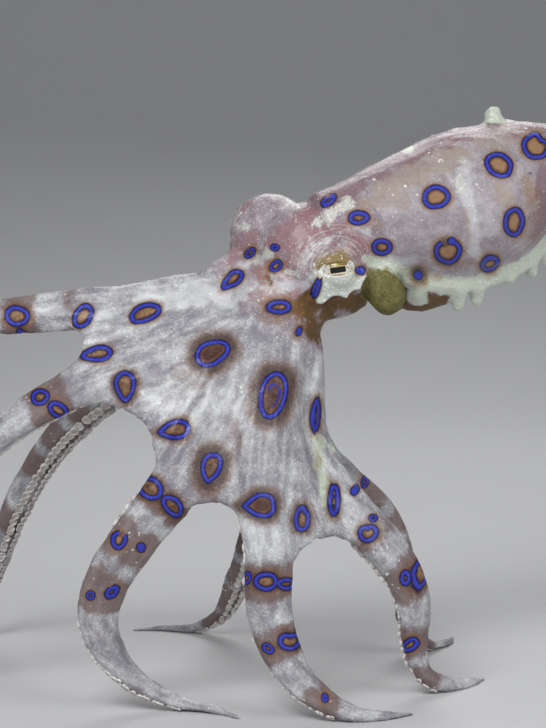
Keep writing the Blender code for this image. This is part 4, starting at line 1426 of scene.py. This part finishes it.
class Finish:
    # a material, the colours it is made of, and its colour as far as it is laid
    def __init__(self, name, look):
        self.look, self.colour = look, None
        self.material = bpy.data.materials.new(name)
        self.material.use_nodes = True
        self.tree = self.material.node_tree
        self.tree.nodes.clear()

    def node(self, kind, settings=None, inputs=None, output=0):
        made = self.tree.nodes.new(kind)
        for key, value in (settings or {}).items():
            setattr(made, key, value)
        for key, value in (inputs or {}).items():
            if isinstance(value, Wire):
                self.tree.links.new(value.socket, made.inputs[key])
            else:
                made.inputs[key].default_value = value
        return Wire(self, made.outputs[output]) if len(made.outputs) else None

    def mix(self, share, first, second):
        # on this node the colours are inputs 6 and 7 and output 2
        values = {0: share, 6: first, 7: second}
        return self.node("ShaderNodeMix", {"data_type": "RGBA"}, values, 2)

    def lay(self, share, tone):
        # one more colour, named or mixed, over what is there so far
        self.colour = self.mix(share, self.colour, self.look[tone] if isinstance(tone, str) else tone)

    def readVector(self, name):
        return self.node("ShaderNodeAttribute", {"attribute_name": name}, output=1)

    def places(self):
        # the object coordinates
        return self.node("ShaderNodeTexCoord", output=3)

    def part(self, vector, index):
        return self.node("ShaderNodeSeparateXYZ", {}, {"Vector": vector}, index)

    def split(self, vector):
        return [self.part(vector, i) for i in range(3)]

    def parts(self, name):
        return self.split(self.readVector(name))

    def stretch(self, vector, factors):
        return self.node("ShaderNodeVectorMath", {"operation": "MULTIPLY"}, {0: vector, 1: factors})

    def flatSpan(self, vector):
        # the vector's length, seen along its z
        flat = self.stretch(vector, (1.0, 1.0, 0.0))
        return self.node("ShaderNodeVectorMath", {"operation": "LENGTH"}, {0: flat}, 1)

    def bent(self, vector, scale, amount):
        # the same places pushed about a little, so that grains on them lose their round shape
        push = self.node("ShaderNodeTexNoise", {}, {"Vector": vector, "Scale": scale, "Detail": 1.0}, 1)
        push = self.node("ShaderNodeVectorMath", {"operation": "SUBTRACT"}, {0: push, 1: (0.5,) * 3})
        push = self.stretch(push, (amount,) * 3)
        return self.node("ShaderNodeVectorMath", {"operation": "ADD"}, {0: vector, 1: push})

    def specks(self, vector, scale, rarity):
        # small grains in a few of the cells, each of its own size
        near = self.cells(vector, scale)
        chosen = self.part(near.other(1), 0).step(rarity, 1.0)
        return (near - chosen * 0.34).step(0.08, -0.06) * chosen.step(0.0, 0.1)

    def ringEdge(self, name):
        # distance from a ring's line in half widths of the line, below 0 inside the ring
        spot = self.readVector(name)
        return (self.flatSpan(spot) - 1) * self.part(spot, 2)

    def grain(self, vector, scale, detail=2.0, roughness=0.5):
        return self.node("ShaderNodeTexNoise", {}, {
            "Vector": vector, "Scale": scale, "Detail": detail, "Roughness": roughness})

    def cells(self, vector, scale):
        return self.node("ShaderNodeTexVoronoi", {"feature": "F1"}, {"Vector": vector, "Scale": scale})

    def bump(self, strength, distance, height):
        return self.node("ShaderNodeBump", {}, {
            "Strength": strength, "Distance": distance * mm, "Height": height})

    def close(self, fixed, varied):
        # the shader: fixed numbers on its own sockets, and what changes over the surface
        values = {**fixed, **varied, "Base Color": self.colour}
        shader = self.node("ShaderNodeBsdfPrincipled", {}, values)
        self.node("ShaderNodeOutputMaterial", {}, {"Surface": shader})
        return self.material


def rgb(red, green, blue):
    return (red, green, blue, 1.0)


skinLook = {
    "pale": rgb(0.72, 0.74, 0.75),
    "lilacGrey": rgb(0.25, 0.235, 0.265),
    "mantlePale": rgb(0.50, 0.47, 0.495),
    "mantleDeep": rgb(0.28, 0.24, 0.27),
    "headPale": rgb(0.50, 0.455, 0.475),
    "headLilac": rgb(0.25, 0.195, 0.23),
    "cream": rgb(0.58, 0.53, 0.50),
    "pink": rgb(0.31, 0.155, 0.17),
    # tan and mauve are also laid as painted shade at the mantle's far end
    "tan": rgb(0.36, 0.27, 0.20),
    "mauve": rgb(0.215, 0.125, 0.150),
    # also laid on the mantle's underside, where its darkness is partly painted shade
    "brown": rgb(0.122, 0.060, 0.009),
    "olive": rgb(0.112, 0.102, 0.020),
    "oliveLight": rgb(0.215, 0.195, 0.060),
    "brow": rgb(0.235, 0.16, 0.012),
    "browOuter": rgb(0.25, 0.16, 0.06),
    "green": rgb(0.58, 0.65, 0.53),
    "white": rgb(0.84, 0.85, 0.81),
    "patch": rgb(0.58, 0.58, 0.53),
    "flap": rgb(0.58, 0.63, 0.57),
    "band": rgb(0.155, 0.090, 0.080),
    "haloTan": rgb(0.29, 0.145, 0.055),
    "haloBrown": rgb(0.165, 0.078, 0.040),
    "haloInner": rgb(0.055, 0.022, 0.010),
    "centreEdge": rgb(0.14, 0.062, 0.026),
    "centreTan": rgb(0.33, 0.19, 0.10),
    "centreDeep": rgb(0.070, 0.026, 0.020),
    "outline": rgb(0.008, 0.006, 0.050),
    "blue": rgb(0.014, 0.017, 0.33),
    "core": rgb(0.046, 0.062, 0.48),
    "dots": rgb(0.05, 0.03, 0.015),
    "roughness": 0.42,
    "coat": 0.22,
    "bump": (0.65, 0.17),
}


def sidePatches(f, spot, grain):
    # the white patches dotted with black at either end of the slit: how white, and how black
    x, y, z = f.split(spot)
    ragged = (grain - 0.5) * 1.1
    front = (abs(x + 2.05) / 0.95).power(2.0) + (abs(y + 0.1) / 1.25).power(2.0)
    rear = (abs(x - 2.1) / 0.75).power(2.0) + (abs(y - 0.45) / 0.85).power(2.0)
    white = (front.least(rear) + ragged).step(1.1, 0.75) * z.step(0.0, 0.5)
    return white, white * f.cells(spot, 3.4).step(0.38, 0.25)


def ringColours(f, rough, middle, fine, inner):
    # halo, line and centre of every ring, laid over the skin's own colour
    look = skinLook
    halo, fill, deep = f.parts("ringTone")
    # the brown of the halos and the stain strokes, the painted shade at the mantle's far end among them
    stainAndShade = (halo + rough * 0.85 * (halo * 4).least(1.0)).step(0.08, 0.85)
    outer = f.mix(deep.step(0.15, 0.75), look["haloTan"], look["haloBrown"])
    near = f.mix((halo + rough * 0.5).step(0.45, 0.98), outer, look["haloInner"])
    f.lay(stainAndShade * 0.88, near)
    onA, onB, gap = [mark.step(0.4, 0.6) for mark in f.parts("ringShown")]
    edges = [(f.ringEdge(name) - 30) * on + 30 for name, on in (("ringA", onA), ("ringB", onB))]
    around = abs(edges[0]).least(abs(edges[1])) + (fine - 0.5) * 0.9 + (middle - 0.5) * 0.7
    inside = edges[0].least(edges[1])
    dot = fill.step(0.4, 0.6)
    filled = dot * edges[1].step(0.6, 0.0)
    mottled = (middle - 0.5) * 1.6 + (fine - 0.5) * 1.0
    centre = f.mix((deep + mottled).step(0.25, 1.10), look["centreTan"], look["centreDeep"])
    centre = f.mix((inside + mottled * 2.0).step(-1.8, -3.6), look["centreEdge"], centre)
    f.lay(inside.step(-0.6, -1.6), centre)
    # the widest ring has a broken line of blue within it
    spot = f.readVector("ringA")
    within = abs(f.flatSpan(spot) - 0.52) * f.part(spot, 2) + (fine - 0.5) * 1.4
    within = within.step(1.3, 0.6) * inner.step(0.5, 0.9) * (middle + fine * 0.3).step(0.60, 0.68) * onA
    line = (around.step(1.2, 0.75) * (1 - gap)).most(filled)
    dark = (around.step(2.3, 1.3) * (1 - gap)).most(edges[1].step(2.6, 1.2) * dot)
    f.lay(dark * 0.95, "outline")
    f.lay(line.most(within * 0.9), "blue")
    bright = around.step(0.95, 0.5) * (1 - around.step(0.34, 0.02) * fine.step(0.44, 0.58) * 0.65)
    bright = bright.most(filled * edges[1].step(-0.3, -1.4)) * (fine.step(0.25, 0.65) * 0.6 + 0.4)
    f.lay(line * bright, "core")
    return line


def skinFinish():
    look = skinLook
    f = Finish("wetSkin", look)
    where = f.places()
    fine = f.grain(where, 1900.0, 3.0, 0.65)
    middle = f.grain(where, 430.0, 5.0, 0.65)
    broad = f.grain(where, 130.0, 3.0, 0.5)
    streak = f.grain(f.stretch(f.readVector("flow"), (0.15, 0.50, 0.45)), 1.0, 5.0, 0.60)
    uneven = f.bent(where, 1500.0, 0.00055)
    near = f.cells(uneven, 2300.0)
    pebble = near.step(0.55, 0.10)
    ownShade = f.part(near.other(1), 1)
    rough = middle - 0.5 + (fine - 0.5) * 0.7
    mantle, head, band = f.parts("parts")
    tan, mauve, pink = f.parts("warm")
    white, pale, green = f.parts("light")
    olive, brown, brow = f.parts("dark")
    flap, arcs, inner = f.parts("eyeRound")

    def soft(mask, grains=0.8, low=0.08, high=0.92):
        # a patch that fades out through its own grain
        return (mask + rough * grains * (mask * 4).least(1.0)).step(low, high)

    def grainy(mask):
        # a patch that breaks up into small pale grains towards its edge
        edge = rough * 0.8 * (mask * 4).least(1.0)
        return (mask * 1.5 - ownShade * 0.8 - near * 0.5 + edge).step(0.0, 0.8)

    shade = streak * 0.60 + broad * 0.46 + middle * 0.32 + pebble * 0.08 + ownShade * 0.06
    limb = f.mix(shade.step(0.58, 0.97), look["lilacGrey"], look["pale"])
    shade = (middle * 0.8 + broad * 0.6 + pebble * 0.14 + ownShade * 0.12).step(0.52, 1.12)
    body = f.mix(shade, look["mantleDeep"], look["mantlePale"])
    shade = (middle * 0.8 + broad * 0.4 + pebble * 0.22 + ownShade * 0.16).step(0.45, 1.05)
    face = f.mix(shade, look["headLilac"], look["headPale"])
    f.colour = f.mix(mantle, f.mix(head, limb, face), body)
    # tan and mauve patches; at the mantle's far end they are painted shade
    f.lay(soft(tan, 1.6, 0.0, 1.1) * 0.58, "tan")
    f.lay(soft(mauve, 1.5, 0.0, 1.0) * 0.82, "mauve")
    edge = (pale * 3).least(1.0)
    faded = (pale + rough * edge - ownShade * 0.25 * edge).step(0.0, 1.1)
    f.lay(faded * (0.72 - mantle * 0.24), "pale")
    f.lay(soft(pink, 2.2, 0.05, 1.1) * 0.74, "pink")
    f.lay(soft(band, 1.5) * 0.8, "band")
    amber = f.mix((brow + rough * 0.8).step(0.40, 0.9), look["browOuter"], look["brow"])
    f.lay(soft(brow, 1.4, 0.0, 0.9) * 0.85, amber)
    # fine folds of cream and pink that follow one another round the eye
    spot = f.readVector("eyeSpot")
    x, y = f.part(spot, 0), f.part(spot, 1)
    rolled = f.node("ShaderNodeCombineXYZ", {}, {
        "X": f.flatSpan(spot) * 2.6, "Y": y.sum("ARCTAN2", y, x) * 1.5})
    folds = f.grain(rolled, 1.0, 3.0, 0.6)
    unevenFolds = folds + (fine - 0.5) * 0.3
    f.lay(arcs * unevenFolds.step(0.52, 0.64) * 0.68, "cream")
    f.lay(arcs * (1 - brow) * unevenFolds.step(0.48, 0.36) * 0.8, "pink")
    # brown patches, and the mantle's underside, dark there partly as painted shade
    f.lay(soft(brown, 1.2) * 0.95, "brown")
    khaki = f.mix((fine * 0.6 + middle * 0.5).step(0.48, 0.72), look["olive"], look["oliveLight"])
    f.lay(soft(olive, 0.6) * 0.96, khaki)
    dotted = (olive * 0.6 + brown * 0.5).step(0.2, 0.9)
    f.lay(dotted * f.cells(where, 3600.0).step(0.40, 0.22) * 0.5, "dots")
    mint = f.mix(pebble * ownShade.step(0.3, 0.9) * 0.8 + fine * 0.1, look["green"], look["white"])
    f.lay(soft(green, 0.9) * (0.66 + middle * 0.5).least(0.95), mint)
    flecks = f.specks(uneven, 1900.0, 0.86).most(f.specks(uneven, 1000.0, 0.94))
    bare = (1 - olive) * (1 - brown)
    flecks = flecks * (broad + middle * 0.5).step(0.58, 0.90) * bare
    tiny = f.specks(uneven, 3000.0, 0.72) * head * (broad + middle * 0.6).step(0.45, 0.8) * bare
    grit = (pebble * 0.5 + ownShade * 0.5 + (fine - 0.5) * 0.6).step(0.25, 0.85)
    f.lay(grainy(white), f.mix(grit, look["patch"], look["white"]))
    f.lay((flecks * 0.85).most(tiny * 0.8), "white")
    f.lay(flap * (0.8 + middle * 0.4), f.mix(grit, look["flap"], look["white"]))
    patch, black = sidePatches(f, spot, middle)
    f.lay(patch, "white")
    f.lay(black, "dots")
    rust = f.specks(uneven, 1500.0, 0.86) * head * (1 - flap) * (1 - olive)
    f.lay(rust * 0.6, "haloTan")
    line = ringColours(f, rough, middle, fine, inner)

    height = pebble * 0.55 + fine * 0.5 + streak * 0.5 * (1 - mantle) + line * 0.3 + folds * arcs * 0.6
    dull = brown.most(olive).most(band * 0.7).step(0.1, 0.8)
    sheen = look["roughness"] + (middle - 0.5) * 0.25 - line * 0.1 + dull * 0.2
    return f.close(
        {"IOR": 1.35, "Coat Roughness": 0.18, "Subsurface Weight": 0.08,
         "Subsurface Radius": (1.0, 0.4, 0.3), "Subsurface Scale": 0.5 * mm},
        {"Roughness": sheen, "Coat Weight": look["coat"] - dull * 0.19,
         "Normal": f.bump(*look["bump"], height)},
    )


skin.data.materials.append(skinFinish())
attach(skin, "root")
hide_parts(*fleshNodes)
print("skin finished")

eyeShape = {
    "pupil": (1.28, 0.47),
    "pupilRound": 0.18,     # radius of the slit's ends
    "pupilTilt": 5.0,
    "pupilDepth": 0.30,
    "pupilRim": 0.05,
    "gold": rgb(0.42, 0.31, 0.05),
    "olive": rgb(0.16, 0.11, 0.03),
    "brow": rgb(0.20, 0.14, 0.06),
    "cream": rgb(0.66, 0.64, 0.56),
    "rim": rgb(0.75, 0.62, 0.40),
    "rust": rgb(0.36, 0.21, 0.12),
    "black": rgb(0.004, 0.004, 0.004),
}


def pastSlit(x, y):
    # how far past the straight part of the slit's edge a place is, along the slit and across it
    tilt = math.radians(eyeShape["pupilTilt"])
    along = x * math.cos(tilt) + y * math.sin(tilt)
    across = y * math.cos(tilt) - x * math.sin(tilt)
    half, tall = [size - eyeShape["pupilRound"] for size in eyeShape["pupil"]]
    return abs(along) - half, abs(across) - tall


def eyeFinish():
    look = eyeShape
    f = Finish("wetEye", look)
    spot = f.readVector("look")
    x, y = f.part(spot, 0), f.part(spot, 1)
    grain = f.grain(spot, 2.0, 3.0)
    fine = f.grain(spot, 6.0, 2.0)
    across, rise = [past.most(0.0).power(2.0) for past in pastSlit(x, y)]
    slit = (across + rise).power(0.5) - look["pupilRound"] + (fine - 0.5) * 0.08
    f.colour = f.mix(grain.step(0.40, 0.62), look["gold"], look["olive"])
    f.lay((y + (grain - 0.5) * 0.8).step(0.95, 1.5), "brow")
    f.lay((y + (grain - 0.5) * 0.4).step(0.35, 0.05), "cream")
    below = (y + (fine - 0.5) * 0.5).step(-0.55, -0.85) * abs(x).step(1.3, 0.9)
    f.lay(below, "rust")
    white, black = sidePatches(f, spot, grain)
    f.lay(white, "cream")
    f.lay(black, "black")
    f.lay(slit.step(0.17, 0.06), "rim")
    hole = slit.step(0.05, 0.0)
    f.lay(hole, "black")
    return f.close(
        {"IOR": 1.4, "Coat Roughness": 0.05},
        {"Coat Weight": 0.7 - hole * 0.66, "Roughness": 0.36 + hole * 0.3,
         "Normal": f.bump(0.3, 0.05, fine * slit.step(0.0, 0.15))},
    )


def makeEye(eye, name):
    deselectAll()
    bpy.ops.mesh.primitive_ico_sphere_add(subdivisions=6, radius=eyeRadius * mm, location=eye.centre)
    ball = bpy.context.object
    ball.name = ball.data.name = name
    bpy.ops.object.transform_apply(location=True, rotation=True, scale=True)
    places, normals = meshArrays(ball)
    x, y, z = eye.local(places)
    slit = np.hypot(*np.maximum(pastSlit(x, y), 0)) - eyeShape["pupilRound"]
    sink = smoothStep(0.06, -0.12, slit) * (z > 0) * eyeShape["pupilDepth"]
    rim = np.exp(-((slit - 0.16) / 0.12) ** 2) * (z > 0) * eyeShape["pupilRim"]
    setPlaces(ball, places + normals * ((rim - sink) * mm)[:, None])
    storeVectors(ball, "look", x, y, z)
    shadeSmooth(ball)
    ball.data.materials.append(eyeMaterial)
    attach(ball, "root")
    return ball


eyeMaterial = eyeFinish()
leftBall = makeEye(leftEye, "eyeball_left")
rightBall = makeEye(rightEye, "eyeball_right")
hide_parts("eye_left")
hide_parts("eye_right")
print("eyes made")

suckerShape = {
    "largest": 1.05,     # radius in millimetres
    "smallest": 0.32,
    "start": 9.0,        # how far out along the arm the first one sits
    "spacing": 1.75,     # of its own radius
    "stagger": 27.0,     # degrees to either side of the arm's inner middle
    "crownMiddle": at(2.0, 8.0, 40.0),      # within the arms' crown, where the inner faces look
    "sides": 10,
    "deep": 0.9,
    "foot": 0.72,           # how much narrower the foot is
    "steps": ((0.10, 0.86), (-0.16, 0.70), (-0.42, 0.62)),      # of the hollow: depth, width
    "endGap": 1.2,
    "taper": (2.2, 0.8),
    "leastArm": 0.75,       # half width of the arm at its tip
    "swayTurn": 5,
    "sway": (0.94, 1.08),
    "proud": 0.22,
    "floorGap": 0.1,
    "shade": rgb(0.60, 0.55, 0.53),
    "pale": rgb(0.80, 0.78, 0.75),
}


def makeCup():
    # one sucker of radius 1: a short post with a hollow let into its top in three steps
    deselectAll()
    bpy.ops.mesh.primitive_cylinder_add(vertices=suckerShape["sides"], radius=1.0,
                                        depth=suckerShape["deep"], end_fill_type="NGON")
    cup = bpy.context.object
    bm = openMesh(cup)
    top = [f for f in bm.faces if f.normal.z > 0.9][0]
    foot = [f for f in bm.faces if f.normal.z < -0.9][0]
    for vert in foot.verts:
        vert.co.x *= suckerShape["foot"]
        vert.co.y *= suckerShape["foot"]
    for depth, share in suckerShape["steps"]:
        bmesh.ops.inset_individual(bm, faces=[top], thickness=0.001)
        for vert in top.verts:
            flat = Vector((vert.co.x, vert.co.y, 0)).normalized()
            vert.co = Vector((flat.x * share, flat.y * share, suckerShape["deep"] / 2 + depth))
    closeMesh(bm, cup)
    return cup


def placeSuckers():
    shape, cup = suckerShape, makeCup()
    copies = []
    chance = random.Random(3)
    for name, course in courses.items():
        half, thick, taper, roll = [arms[name][key] for key in ("half", "thick", "taper", "roll")]
        along, flip, length = shape["start"], 1, course.run[-1]
        while along < length - shape["endGap"]:
            share = along / length
            size = shape["largest"] * (1 - share ** shape["taper"][0]) ** shape["taper"][1]
            size = max(shape["smallest"], size)
            row = min(int(np.searchsorted(course.run, along)), courseRows - 1)
            wide = max(shape["leastArm"], half * (1 - share ** taper) ** 0.85)
            sway = chance.uniform(-shape["swayTurn"], shape["swayTurn"])
            lean = math.radians(roll + flip * shape["stagger"] + sway)
            way = Vector(-course.outs[row] * math.cos(lean) + course.sides[row] * math.sin(lean))
            hit, normal = skinTree.ray_cast(Vector(course.rows[row]), way)[:2]
            along += size * shape["spacing"] / 2 * chance.uniform(*shape["sway"])
            flip = -flip
            # how far from its middle line the arm's own surface can be, beyond which it is the web's
            skew = math.radians(roll + flip * shape["stagger"])
            limit = 1.0 / math.hypot(math.cos(skew) * half / (thick * wide), math.sin(skew) / wide)
            if hit is None or (hit - Vector(course.rows[row])).length > (1.3 * limit + 0.3) * mm:
                continue
            if normal.dot(way) < 0.5:
                continue
            if along < arms[name]["web"] and normal.dot(shape["crownMiddle"] - hit) < 0:
                continue
            turn = Vector(normal * 0.6 + way * 0.4).normalized().to_track_quat("Z", "Y").to_matrix()
            place = hit + (turn @ Vector((0, 0, 1))) * size * shape["proud"] * mm
            copy = bpy.data.objects.new("cup", cup.data.copy())
            for vert in copy.data.vertices:
                vert.co = place + turn @ (vert.co * size * mm)
            if min(vert.co.z for vert in copy.data.vertices) < shape["floorGap"] * mm:
                continue
            bpy.context.scene.collection.objects.link(copy)
            copies.append(copy)
    bpy.data.objects.remove(cup)
    suckers = joinAll(copies[0], copies[1:])
    suckers.name = suckers.data.name = "suckers"
    shadeSmooth(suckers)
    return suckers


def suckerFinish():
    f = Finish("suckerSkin", suckerShape)
    where = f.places()
    middle = f.grain(where, 700.0, 3.0)
    fine = f.grain(where, 2600.0, 2.0)
    f.colour = f.mix(middle.step(0.35, 0.65), f.look["shade"], f.look["pale"])
    return f.close(
        {"IOR": 1.38, "Coat Roughness": 0.2, "Coat Weight": 0.2, "Subsurface Weight": 0.1,
         "Subsurface Radius": (1.0, 0.5, 0.4), "Subsurface Scale": 0.5 * mm},
        {"Roughness": 0.34 + middle * 0.2, "Normal": f.bump(0.3, 0.06, fine)},
    )


suckers = placeSuckers()
suckers.data.materials.append(suckerFinish())
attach(suckers, "root")
print("suckers:", len(suckers.data.polygons), "faces")

studio = {
    "floor": rgb(0.60, 0.60, 0.61),
    "floorSpeck": rgb(0.5, 0.5, 0.5),
    "floorSize": 2.4,
    "wallAway": 0.9,
    "bend": 0.5,
    "world": rgb(0.62, 0.64, 0.68),
    "worldStrength": 0.22,
    # place, target, size and power of each soft box
    "lamps": [
        ((-0.16, -0.42, 0.42), (0.0, 0.0, 0.05), 0.26, 2.3),
        ((0.36, -0.28, 0.22), (0.0, 0.0, 0.05), 0.30, 0.8),
        ((0.05, 0.40, 0.42), (0.0, 0.0, 0.06), 0.30, 1.1),
    ],
}


def makeSweep():
    # floor and back wall in one, joined by a round bend
    deselectAll()
    size, wall = studio["floorSize"], studio["wallAway"]
    bpy.ops.mesh.primitive_plane_add(size=size, location=(0, wall - size / 2, 0))
    sweep = bpy.context.object
    sweep.name = "floor"
    bpy.ops.object.transform_apply(location=True, rotation=True, scale=True)
    bm = openMesh(sweep)
    rear = [e for e in bm.edges if all(v.co.y > wall - 0.01 for v in e.verts)]
    made = bmesh.ops.extrude_edge_only(bm, edges=rear)["geom"]
    for vert in [g for g in made if isinstance(g, bmesh.types.BMVert)]:
        vert.co.z += size / 2
    bend = [e for e in bm.edges
            if all(abs(v.co.y - wall) < 0.01 and abs(v.co.z) < 0.01 for v in e.verts)]
    bmesh.ops.bevel(bm, geom=bend, offset=studio["bend"], segments=24, profile=0.5, affect="EDGES")
    bmesh.ops.recalc_face_normals(bm, faces=bm.faces)
    closeMesh(bm, sweep)
    shadeSmooth(sweep)
    f = Finish("paper", studio)
    grain = f.grain(f.places(), 900.0, 2.0)
    f.colour = f.mix(grain * 0.05, studio["floor"], studio["floorSpeck"])
    sweep.data.materials.append(f.close({"Roughness": 0.75}, {}))


def makeLamp(index, place, target, size, power):
    data = bpy.data.lights.new("softBox%d" % index, "AREA")
    data.shape = "SQUARE"
    data.size = size
    data.energy = power
    lamp = bpy.data.objects.new(data.name, data)
    bpy.context.scene.collection.objects.link(lamp)
    lamp.location = place
    lamp.rotation_euler = (Vector(target) - Vector(place)).to_track_quat("-Z", "Y").to_euler()


makeSweep()
for index, lamp in enumerate(studio["lamps"]):
    makeLamp(index, *lamp)
world = bpy.data.worlds.new("room")
world.use_nodes = True
sky = world.node_tree.nodes["Background"].inputs
sky["Color"].default_value = studio["world"]
sky["Strength"].default_value = studio["worldStrength"]
bpy.context.scene.world = world
bpy.context.scene.view_settings.view_transform = "Standard"
print("room made")
